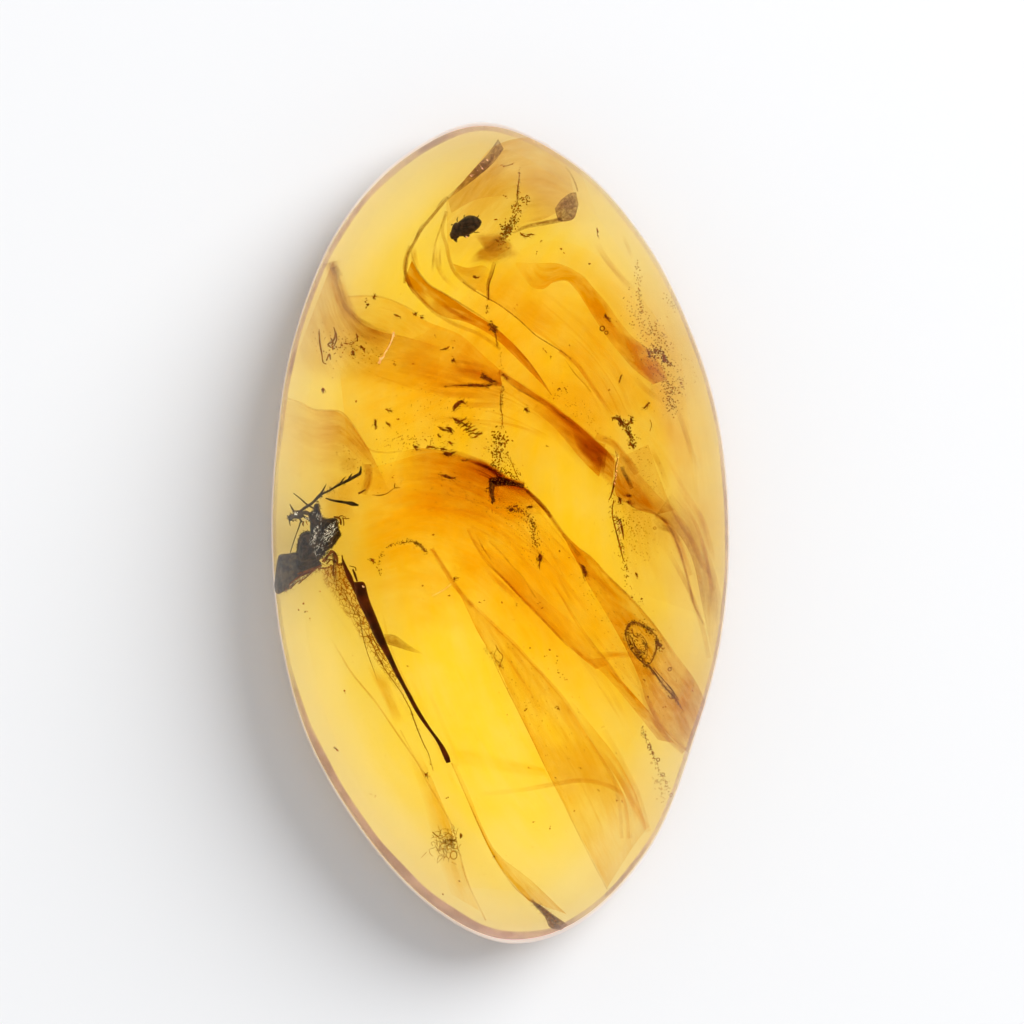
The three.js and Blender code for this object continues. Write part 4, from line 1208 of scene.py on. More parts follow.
head = [
    pod([(-12.95, 1.02), (-12.7, 1.15), (-12.4, 1.36), (-12.12, 1.3), (-12.03, 1.0),
         (-12.25, 0.85), (-12.55, 0.88), (-12.8, 0.75)], 0.55, 3.9, lumps=0.08, seed=11),
    pod([(-12.25, 1.28), (-12.05, 1.25), (-12.02, 1.02), (-12.2, 0.98)], 0.35, 4.1, seed=12),
    thread([(-12.8, 0.95), (-12.85, 0.7), (-12.8, 0.42)], (0.09, 0.05, 0.02), 3.8),
    thread([(-12.75, 0.95), (-12.7, 0.78), (-12.6, 0.7)], (0.06, 0.03), 3.8),
    thread([(-12.05, 1.1), (-11.9, 0.95), (-11.7, 0.85), (-11.55, 0.7)], (0.05, 0.07, 0.06), 4.0),
    thread([(-12.1, 1.2), (-11.9, 1.25), (-11.6, 1.15)], (0.1, 0.13, 0.1), 3.9),
]
piece("insect_head", head, GREY_SHELL)

# %% The legs
LEG_LEVEL = 4.6
legs = [
    thread([(-12.3, 1.25), (-11.9, 1.55), (-11.5, 1.8), (-11.15, 2.15), (-10.95, 2.35)],
           (0.07, 0.09, 0.08, 0.1), LEG_LEVEL, rows=24),
    thread([(-10.98, 2.33), (-10.4, 2.6), (-10.0, 2.85), (-9.6, 3.05), (-9.2, 3.25),
            (-8.8, 3.48), (-8.55, 3.62)], (0.07, 0.055, 0.075, 0.09, 0.085), (4.7, 5.4), rows=34),
    thread([(-8.58, 3.6), (-8.52, 3.8), (-8.5, 4.08)], (0.085, 0.06, 0.025), 5.4),
    thread([(-10.95, 2.35), (-10.8, 2.62), (-10.6, 3.0)], (0.07, 0.05, 0.015), 4.8),
    thread([(-9.75, 3.0), (-9.6, 3.25), (-9.4, 3.45)], (0.06, 0.045, 0.012), 5.1),
    thread([(-9.25, 3.25), (-9.15, 3.45), (-9.03, 3.62)], (0.07, 0.05, 0.012), 5.2),
    thread([(-10.95, 2.25), (-10.85, 2.2)], (0.07, 0.04), 4.7, rows=6),
    thread([(-10.65, 2.12), (-10.2, 1.98), (-9.7, 1.9), (-9.2, 1.82), (-8.75, 1.71),
            (-8.65, 1.69)], (0.04, 0.06, 0.075, 0.08, 0.13, 0.06), 5.2, rows=30),
    thread([(-12.6, 2.42), (-12.2, 2.1), (-11.8, 1.75), (-11.35, 1.48)], (0.03, 0.045, 0.05), 4.4,
           rows=20),
    thread([(-12.82, 1.75), (-12.7, 1.5), (-12.5, 1.2)], (0.035, 0.06, 0.05), 4.0),
    thread([(-12.15, 0.75), (-12.3, 0.3), (-12.5, -0.25), (-12.65, -0.7), (-12.8, -1.2)],
           (0.045, 0.035, 0.035), 3.9, rows=20),
    thread([(-12.3, 0.95), (-12.18, 0.8), (-12.1, 0.66)], (0.05, 0.06), 3.9),
    thread([(-9.95, -0.1), (-9.85, -0.12), (-9.75, -0.15)], (0.1, 0.06, 0.03), 4.2),
]
legs += [
    fringe([(-10.98, 2.33), (-10.0, 2.85), (-9.2, 3.25), (-8.55, 3.62)], 110, 0.13, 5.0, 21),
    fringe([(-12.3, 1.25), (-11.5, 1.8), (-10.95, 2.35)], 50, 0.09, 4.6, 22),
    fringe([(-10.65, 2.12), (-9.7, 1.9), (-8.7, 1.7)], 40, 0.05, 5.2, 23),
    fringe(THORAX_EDGE, 520, 0.085, 4.2, 24, closed=True),
    fringe([(-11.4, 1.9), (-11.1, 1.9), (-11.0, 1.4), (-11.0, 1.1)], 60, 0.07, 4.3, 25),
    fringe([(-12.95, 1.02), (-12.4, 1.36), (-12.05, 1.2), (-12.3, 0.85), (-12.8, 0.75)], 90, 0.08,
           4.0, 26, closed=True),
    fringe([(-13.5, -3.6), (-12.9, -3.3), (-12.2, -2.65), (-11.6, -2.25), (-11.0, -1.9)], 200, 0.13,
           3.8, 27),
    fringe([(-10.9, -1.5), (-10.5, -1.2), (-10.2, -1.3), (-10.1, -1.8)], 90, 0.12, 4.2, 28),
]
piece("insect_legs", legs, CHITIN)

thin_legs = [
    thread([(-10.4, -1.1), (-10.2, -1.12), (-10.1, -1.5), (-10.15, -1.95)], (0.05, 0.06, 0.04), 4.2),
    thread([(-10.9, -1.55), (-10.6, -1.62), (-10.35, -1.6)], (0.03, 0.04), 4.2),
    thread([(-10.3, -1.9), (-10.5, -2.12), (-11.1, -2.15)], (0.03, 0.03), 4.0),
    thread([(-10.15, 0.98), (-9.9, 0.95), (-9.75, 0.8), (-9.72, 0.5)], (0.05, 0.06, 0.05), 4.3),
    thread([(-9.62, 0.95), (-9.55, 0.7), (-9.55, 0.45)], (0.03, 0.03), 4.3),
    thread([(-9.6, 0.92), (-9.4, 0.88), (-9.2, 0.88)], (0.03, 0.025), 4.3),
    thread([(-12.35, -2.5), (-11.8, -2.3), (-11.3, -2.1), (-11.0, -2.02)], (0.05, 0.06, 0.04), 4.0),
    thread([(-12.3, -3.1), (-11.9, -2.75), (-11.5, -2.4), (-11.3, -2.2)], (0.03, 0.035), 3.9),
    thread([(-12.8, -3.4), (-12.4, -3.0), (-12.0, -2.8)], (0.03, 0.03), 3.8),
    fringe([(-13.1, -3.55), (-12.4, -3.0), (-11.7, -2.5), (-10.9, -2.1)], 110, 0.16, 3.9, 29),
    fringe([(-10.9, -1.9), (-10.4, -1.4), (-10.05, -1.3), (-10.1, -2.0)], 90, 0.16, 4.2, 30),
    thread([(-12.9, -3.15), (-12.2, -2.62), (-11.5, -2.3), (-10.9, -1.95)], (0.05, 0.07, 0.05),
           3.95, rows=20),
    thread([(-10.85, -1.75), (-10.5, -1.35), (-10.2, -1.15), (-9.95, -1.5), (-9.95, -1.9)],
           (0.05, 0.07, 0.05), 4.25, rows=24),
    thread([(-10.6, -1.9), (-10.3, -1.6), (-10.15, -1.9), (-10.2, -2.6)], (0.04, 0.04), 4.25,
           rows=20),
    thread([(-9.4, 0.95), (-9.7, 1.05), (-9.95, 0.9)], (0.02, 0.035), 4.3),
    thread([(-12.0, 0.72), (-12.03, 0.55), (-12.0, 0.4)], (0.05, 0.06, 0.02), 3.9),
    thread([(-11.85, 0.75), (-11.8, 0.6), (-11.75, 0.5)], (0.03, 0.02), 3.9),
    thread([(-8.65, 2.4), (-8.45, 2.5), (-8.2, 2.65)], (0.06, 0.04), 4.6),
]
piece("insect_thin_parts", thin_legs, AMBER_LEG)

# %% [markdown]
# ## The painted silver glints
#
# Air caught between the resin and the insect's hairy back shines like silver, because light is
# turned back wherever amber meets air. That reflection is painted: a froth of hundreds of bright,
# glowing crumbs and splinters.

# %% The painted silver glints on the back
def strokes(path, count, spread, lean, level, seed):
    """Short bright splinters scattered along a path, all leaning nearly the same way: painted
    glints.
    """
    random = np.random.default_rng(seed)
    roots = scattered(path, count, spread, seed)
    reach = random.uniform(0.06, 0.17, (count, 1))
    return bristles(roots, roots + reach * (np.array(lean) + random.normal(0, 0.3, (count, 2))),
                    level, 0.012)


silver = [
    strokes([(-11.15, 0.4), (-11.3, -0.1), (-11.45, -0.75)], 70, 0.09, (0.35, 0.9), 5.2, 31),
    strokes([(-10.1, 0.5), (-10.35, 0.1), (-10.75, -0.6)], 150, 0.17, (0.7, 0.8), 5.25, 33),
    strokes([(-11.2, 0.6), (-11.0, 0.9), (-11.3, 1.2)], 26, 0.12, (0.5, 0.8), 4.9, 34),
    strokes([(-11.6, -0.4), (-11.1, -1.2), (-10.9, -0.2)], 46, 0.25, (0.5, 0.8), 4.95, 39),
    grains(scattered([(-12.5, 1.12), (-12.42, 1.2)], 16, 0.035, 35), 4.3, 0.03, 36, 1.5),
    grains(scattered([(-11.9, 0.8), (-11.7, 0.9)], 12, 0.05, 37), 4.3, 0.02, 38, 1.5),
]
piece("painted_silver_glints", silver, SILVER_GLINT)

# %% [markdown]
# ## The wings
#
# One wing is spread flat and shows its net of veins. The other is folded lengthwise into a dark
# strip beside it. The net is a see-through sheet whose cover comes from the edges of Voronoi
# cells, since a wing's veins part it into just such small cells. The long veins are real threads.

# %% The wing's finish
def wing_finish():
    """The cells' edges are where the nearest and next cell are equally near, and the cover mark
    fades the whole net towards the tip."""
    material, wire = blank("wing_membrane")
    cover, run, side = (mark(wire, name) for name in ("cover", "run", "side"))
    place = wire.node("CombineXYZ", sockets={0: run * 2.9, 1: side * 5.4, 2: 0.0})
    bend = wire.node("TexNoise", sockets={"Vector": place, "Scale": 0.8, "Detail": 2.0}, output=1)
    place = wire.node("VectorMath", {"operation": "MULTIPLY_ADD"},
                      {0: bend, 1: (1.1, 1.1, 0), 2: place})
    gap = wire.node("TexVoronoi", {"feature": "DISTANCE_TO_EDGE"},
                    {"Vector": place, "Scale": 1.0}, output="Distance")
    patch = noise(place, 0.35, 3.0)
    vein = 1 - gap.ramp(0.01, 0.13)
    rooted = 1 - run.ramp(0.3, 3.2)
    strength = (cover * (0.14 + 0.25 * patch.ramp(0.4, 0.7) + 0.3 * rooted
                         + 0.85 * vein * patch.ramp(0.15, 0.55))).held()
    return film(material, strength, (0.42, 0.19, 0.06, 1))


WING_LEFT = [(-11.05, -2.2), (-10.9, -3.0), (-10.4, -3.7), (-9.9, -4.5), (-9.2, -5.4),
             (-8.6, -6.4), (-7.9, -7.5), (-7.2, -8.4), (-6.4, -9.5), (-5.9, -10.1)]
WING_RIGHT = [(-9.7, -1.8), (-9.0, -2.8), (-8.7, -3.9), (-8.25, -4.9), (-7.8, -5.9),
              (-7.35, -6.8), (-6.9, -7.6), (-6.4, -8.6), (-6.0, -9.3), (-5.6, -10.0)]
membrane = [
    flow(WING_LEFT, WING_RIGHT, (4.4, 3.9, 3.4), (0, 0.55, 0.9, 1, 1, 1), 0, (1, 1, 1, 0.9, 0.35),
         dip=0.25, rows=110),
]
piece("spread_wing", membrane, wing_finish())

veins = [
    thread([(-8.9, -4.4), (-8.6, -5.0), (-8.4, -6.2), (-8.1, -7.3), (-7.7, -8.4), (-7.5, -9.0)],
           (0.012, 0.022, 0.018, 0.008), 4.05, rows=26, sides=4),
    thread([(-10.2, -2.0), (-10.15, -2.5), (-10.1, -3.0)], (0.03, 0.025), 4.3, sides=4),
    thread([(-10.0, -1.75), (-10.02, -2.5), (-10.0, -3.4)], (0.03, 0.015), 4.3, sides=4),
    thread([(-9.7, -3.2), (-9.2, -4.2), (-8.8, -5.0)], (0.015, 0.02), 4.2, sides=4),
    thread([(-8.1, -6.2), (-7.7, -7.0), (-7.2, -8.0), (-6.7, -8.8)], (0.025, 0.02, 0.01), 4.0,
           rows=20, sides=4),
    thread([(-7.9, -6.1), (-7.5, -6.9), (-7.0, -7.8)], (0.03, 0.02), 4.0, rows=20, sides=4),
    thread([(-7.6, -7.4), (-7.1, -8.2), (-6.4, -9.2), (-5.9, -9.9)], (0.015, 0.02, 0.02), 3.8,
           rows=20, sides=4),
    thread([(-5.95, -9.9), (-5.5, -10.7), (-5.3, -11.3), (-5.0, -12.1), (-4.7, -12.8),
            (-4.4, -13.4), (-4.2, -14.1), (-4.1, -14.5)], (0.02, 0.028, 0.02, 0.012), 3.6,
           rows=40, sides=4),
    thread([(-9.65, -1.35), (-9.6, -1.75), (-9.7, -2.0)], (0.04, 0.05), 4.3, sides=5),
    thread([(-9.95, -1.65), (-9.9, -1.9), (-9.75, -1.95)], (0.04, 0.05), 4.3, sides=5),
]
piece("wing_veins", veins, AMBER_LEG)

# %% The folded wing
folded = [
    blade([(-8.92, -2.98), (-8.75, -4.0), (-8.3, -4.95), (-8.0, -5.6), (-7.7, -6.3),
           (-7.2, -7.15), (-6.8, -7.85), (-6.4, -8.65), (-6.0, -9.35), (-5.6, -10.1)],
          [(-8.4, -2.95), (-8.22, -3.15), (-8.0, -4.0), (-7.6, -5.0), (-7.2, -6.0),
           (-6.85, -6.9), (-6.4, -7.95), (-6.1, -8.6), (-5.75, -9.3), (-5.35, -10.0)],
          (0.3, 0.4, 0.35, 0.25), (4.9, 4.4, 4.0), rows=80),
    blade([(-5.68, -9.95), (-5.2, -10.85), (-4.7, -11.6), (-4.1, -12.4), (-3.75, -13.0),
           (-3.45, -13.7), (-3.3, -14.02)],
          [(-5.45, -9.85), (-4.9, -10.85), (-4.3, -11.8), (-3.75, -12.55), (-3.4, -13.05),
           (-3.12, -13.6), (-3.04, -13.95)],
          (0.22, 0.16), (4.0, 3.7), rows=60),
    blade([(-9.68, -1.55), (-9.6, -2.0), (-9.35, -2.7), (-9.05, -3.3), (-8.85, -3.75)],
          [(-9.58, -1.55), (-9.35, -2.05), (-9.05, -2.6), (-8.88, -3.1), (-8.72, -3.6)],
          0.2, (4.8, 4.7), rows=40),
    thread([(-9.0, -2.2), (-8.9, -2.45), (-8.72, -2.95)], (0.05, 0.07, 0.05), 4.7),
    thread([(-9.2, -2.0), (-8.85, -2.1), (-8.8, -2.3)], (0.02, 0.03), 4.7),
]
piece("folded_wing", folded, RED_WING)

# %% [markdown]
# ## The beetle
#
# A small beetle floats under the top, dark and glossy, tipped so that its back faces up. Two
# wing cases meet down its back, with the shield and the head before them, and the ends of its
# legs and feelers stick out round the edge.

# %% The beetle
BEETLE_LEVEL = 6.2
beetle = [
    pod([(-2.75, 18.72), (-2.35, 19.12), (-1.95, 19.34), (-1.55, 19.3), (-1.22, 19.08),
         (-1.16, 18.86), (-1.6, 18.72), (-2.1, 18.56), (-2.55, 18.42)], 0.75, BEETLE_LEVEL,
        lumps=0.02, seed=41),
    pod([(-2.72, 18.66), (-2.2, 18.68), (-1.7, 18.82), (-1.2, 18.94), (-1.25, 18.68),
         (-1.5, 18.42), (-1.85, 18.2), (-2.25, 18.08), (-2.6, 18.12)], 0.75, BEETLE_LEVEL,
        lumps=0.02, seed=42),
    pod([(-3.02, 18.35), (-2.86, 18.82), (-2.6, 18.9), (-2.45, 18.55), (-2.5, 18.05),
         (-2.75, 17.95), (-2.98, 18.05)], 0.6, BEETLE_LEVEL - 0.05, lumps=0.03, seed=43),
    pod([(-3.07, 18.3), (-2.9, 18.3), (-2.8, 18.05), (-2.9, 17.88), (-3.06, 18.0)], 0.35,
        BEETLE_LEVEL - 0.1, seed=44),
    pod([(-2.9, 17.98), (-2.75, 18.05), (-2.62, 17.92), (-2.7, 17.72), (-2.82, 17.8)], 0.2,
        BEETLE_LEVEL - 0.2, seed=45),
    pod([(-2.25, 18.15), (-2.0, 18.2), (-1.86, 18.1), (-2.05, 18.0), (-2.22, 18.02)], 0.2,
        BEETLE_LEVEL - 0.2, seed=46),
]
legs_of_beetle = [
    [(-1.7, 18.35), (-1.5, 18.3), (-1.35, 18.33), (-1.28, 18.28)],
    [(-2.62, 18.95), (-2.65, 19.1), (-2.58, 19.25)],
    [(-2.2, 19.2), (-2.22, 19.32), (-2.15, 19.38)],
    [(-2.9, 18.75), (-2.98, 18.8), (-3.0, 18.72)],
    [(-1.4, 19.22), (-1.32, 19.36)],
    [(-2.72, 17.85), (-2.68, 17.72), (-2.62, 17.76)],
    [(-3.0, 18.1), (-3.08, 18.18), (-3.1, 18.12)],
]
beetle += [thread(path, (0.035, 0.03, 0.015), BEETLE_LEVEL - 0.15, rows=8)
           for path in legs_of_beetle]
piece("beetle", beetle, BLACK_SHELL)

# %% [markdown]
# ## Bark dust and scraps
#
# The resin picked up bark dust, frass and scraps of plant on its way down. Single crumbs lie
# anywhere, and trails of them lie along the skins of the flows and along the cracks.

# %% Scraps with a shape of their own
splinter = np.random.default_rng(15)


def scrap(path, width, level, rows=10):
    """A core stroke, thickest a third of the way along, in a crust of splinters that lie roughly
    along it. Their number goes with the scrap's area."""
    core = thread(path, (0.1 * width, 0.4 * width, 0.3 * width, 0.1 * width), level, rows=rows)
    ends = np.array([path[0], path[-1]])
    ahead, length = unit(ends[1] - ends[0]), np.linalg.norm(ends[1] - ends[0])
    count = 10 + int(170 * width * (length + 0.2))
    along = splinter.uniform(-0.05, 0.95, count)
    roots = smooth_curve(path, 100)[(99 * np.clip(along, 0, 1)).astype(int)]
    roots = roots + splinter.normal(0, 0.36 * width, (count, 2))
    reach = splinter.uniform(0.04, 0.2, (count, 1))
    tips = roots + reach * (ahead + splinter.normal(0, 0.45, (count, 2)))
    return joined([core, bristles(roots, tips, level + 0.3 * width, 0.024)])


SCRAPS = [
    ([(-3.4, 8.9), (-2.6, 9.0), (-1.5, 8.95), (-0.7, 9.0), (0.0, 9.1)], 0.1, 4.9, 24),
    ([(-2.0, 9.05), (-1.3, 8.98), (-0.6, 8.95)], 0.2, 4.9, 16),
    ([(-1.1, 9.75), (-0.9, 9.45), (-0.6, 9.3), (-0.2, 9.2)], 0.24, 5.0, 16),
    ([(-1.25, 9.5), (-0.9, 9.4), (-0.5, 9.15)], 0.12, 5.0, 12),
    ([(0.05, 9.7), (0.35, 9.5), (0.4, 9.3)], 0.14, 5.0),
    ([(-2.88, 7.45), (-2.72, 7.75), (-2.4, 8.0), (-2.1, 7.85)], 0.3, 4.6, 16),
    ([(-2.9, 7.0), (-2.6, 6.85), (-2.4, 6.8)], 0.18, 4.6),
    ([(-3.85, 6.5), (-3.5, 6.3), (-3.2, 6.25), (-2.9, 6.05)], 0.13, 4.5, 16),
    ([(-3.3, 6.45), (-3.1, 6.35), (-2.95, 6.15)], 0.2, 4.5),
    ([(-3.85, 6.0), (-3.65, 5.85)], 0.08, 4.4),
    ([(-3.2, 5.55), (-3.05, 5.5), (-2.95, 5.42)], 0.18, 4.4),
    ([(-5.3, 5.3), (-5.15, 5.22), (-5.0, 5.25)], 0.2, 4.2),
    ([(-4.5, 5.25), (-4.2, 5.25), (-3.9, 5.15)], 0.14, 4.2),
    ([(-3.7, 5.15), (-3.45, 5.1), (-3.3, 5.05)], 0.18, 4.2),
    ([(-3.5, 4.85), (-3.2, 4.8), (-2.8, 4.9)], 0.26, 4.2, 14),
    ([(-3.3, 4.95), (-3.1, 4.75), (-3.0, 4.7)], 0.16, 4.2),
    ([(-2.4, 4.45), (-2.2, 4.4), (-1.9, 4.5)], 0.1, 4.4),
    ([(-3.65, 3.55), (-3.3, 3.45), (-3.0, 3.35), (-2.7, 3.35)], 0.22, 4.3, 14),
    ([(-2.95, 10.55), (-2.8, 10.45)], 0.2, 4.7),
    ([(-3.7, 11.15), (-3.4, 11.2), (-3.1, 11.35)], 0.09, 4.7),
    ([(-6.5, 13.3), (-6.3, 13.25), (-6.1, 13.15)], 0.11, 4.5),
    ([(-5.3, 13.3), (-5.15, 13.35)], 0.16, 4.6),
    ([(-4.9, 13.15), (-4.7, 13.1)], 0.16, 4.6),
    ([(-7.72, 14.25), (-7.65, 14.5)], 0.12, 4.2),
    ([(-7.0, 7.55), (-6.8, 7.45), (-6.65, 7.4)], 0.12, 4.0),
    ([(-7.62, 6.95), (-7.6, 6.6), (-7.58, 6.35)], 0.14, 4.0),
    ([(-6.95, 6.7), (-6.8, 6.6), (-6.7, 6.55)], 0.14, 4.0),
    ([(-9.0, 11.15), (-8.98, 10.8)], 0.16, 3.8),
    ([(-8.75, 12.15), (-8.72, 11.7)], 0.08, 3.9),
    ([(-8.5, 11.4), (-8.35, 11.2), (-8.3, 11.05)], 0.12, 3.8),
    ([(-10.82, 8.85), (-10.78, 8.6)], 0.16, 3.4),
    ([(9.05, 7.95), (8.9, 7.75), (8.7, 7.55)], 0.14, 4.6),
    ([(7.38, 9.65), (7.3, 9.4), (7.25, 9.15)], 0.1, 4.8),
    ([(7.0, 7.05), (7.3, 6.85), (7.5, 6.5)], 0.26, 5.0, 14),
    ([(7.45, 6.75), (7.75, 6.6), (8.0, 7.0)], 0.12, 5.0),
    ([(7.6, 6.3), (7.85, 6.0), (7.95, 5.7)], 0.12, 5.0),
    ([(7.85, 5.55), (7.98, 5.35), (8.15, 5.2)], 0.16, 5.0),
    ([(9.9, 10.95), (9.95, 10.6), (10.1, 10.4)], 0.14, 4.2),
    ([(8.9, 11.2), (9.05, 10.9), (9.1, 10.65)], 0.1, 4.4),
    ([(1.45, 7.6), (1.7, 7.4)], 0.22, 4.2),
    ([(4.88, -1.9), (5.05, -2.1), (5.2, -2.65)], 0.24, 4.9, 14),
    ([(5.0, -2.25), (5.2, -2.4), (5.15, -2.7)], 0.16, 4.9),
    ([(2.4, -1.25), (2.42, -1.5), (2.4, -1.78)], 0.32, 4.4, 14),
    ([(2.4, -1.7), (2.36, -2.0), (2.38, -2.25)], 0.07, 4.4),
    ([(0.5, 1.45), (0.65, 1.4), (0.78, 1.5)], 0.28, 4.4),
    ([(0.75, 1.6), (1.0, 1.65)], 0.12, 4.4),
    ([(1.6, 1.55), (1.75, 1.6), (1.95, 1.6)], 0.16, 4.4),
    ([(7.2, 2.2), (7.3, 1.95), (7.3, 1.75)], 0.18, 4.8),
    ([(7.65, 2.35), (7.8, 2.25), (7.95, 2.3)], 0.2, 4.8),
    ([(7.7, 1.95), (7.85, 1.85), (7.95, 1.75)], 0.18, 4.8),
    ([(8.25, -2.4), (8.35, -2.65)], 0.1, 4.4),
    ([(-7.9, -1.6), (-7.78, -1.68), (-7.7, -1.75)], 0.2, 4.2),
    ([(-2.85, -2.78), (-2.75, -2.8)], 0.24, 4.4),
    ([(-10.15, -13.05), (-10.0, -13.15), (-9.9, -13.3)], 0.06, 3.0),
    ([(-4.6, -14.65), (-4.5, -14.8)], 0.14, 3.2),
    ([(5.85, 18.6), (5.92, 18.4), (5.9, 18.1)], 0.08, 4.8),
    ([(-1.7, 15.6), (-1.5, 15.55), (-1.3, 15.6)], 0.12, 4.9),
    ([(-0.6, 12.55), (-0.4, 12.5), (-0.3, 12.3)], 0.16, 4.8),
    ([(-0.3, 12.2), (-0.25, 11.8), (-0.2, 11.4)], 0.07, 4.8),
    ([(1.2, 18.25), (1.4, 18.1), (1.5, 18.15)], 0.12, 5.0),
    ([(1.6, 18.15), (1.85, 18.2), (2.0, 18.15)], 0.08, 5.0),
    ([(6.3, 13.3), (6.45, 13.15), (6.65, 13.0)], 0.16, 4.4),
    ([(0.0, 22.4), (0.3, 22.35), (0.8, 22.5)], 0.05, 5.2, 12),
]
scraps = [scrap(*row) for row in SCRAPS]
COMB_TEETH = 7
for step in range(COMB_TEETH):
    x, y = -2.42 + 0.16 * step, 6.82 - 0.15 * step
    bow = splinter.uniform(-0.08, 0.08)
    tooth = [(x - 0.34, y - 0.12), (x - 0.1, y + bow), (x + 0.12, y - bow), (x + 0.36, y + 0.16)]
    scraps.append(scrap(tooth, 0.1, 4.5, 10))
scraps.append(blade([(-0.65, 3.35), (-0.1, 3.42), (0.5, 3.28), (1.0, 3.08), (1.4, 2.98)],
                    [(-0.6, 2.75), (-0.1, 2.85), (0.5, 2.88), (1.0, 2.83), (1.42, 2.72)], 0.1, 4.55,
                    rows=24, sides=8))
scraps.append(blade([(-0.66, 3.2), (-0.66, 2.7), (-0.6, 2.2), (-0.45, 1.85)],
                    [(-0.3, 3.2), (-0.38, 2.7), (-0.4, 2.3), (-0.32, 1.9)], 0.1, 4.5, rows=20,
                    sides=8))
piece("bark_scraps", scraps, DUST)

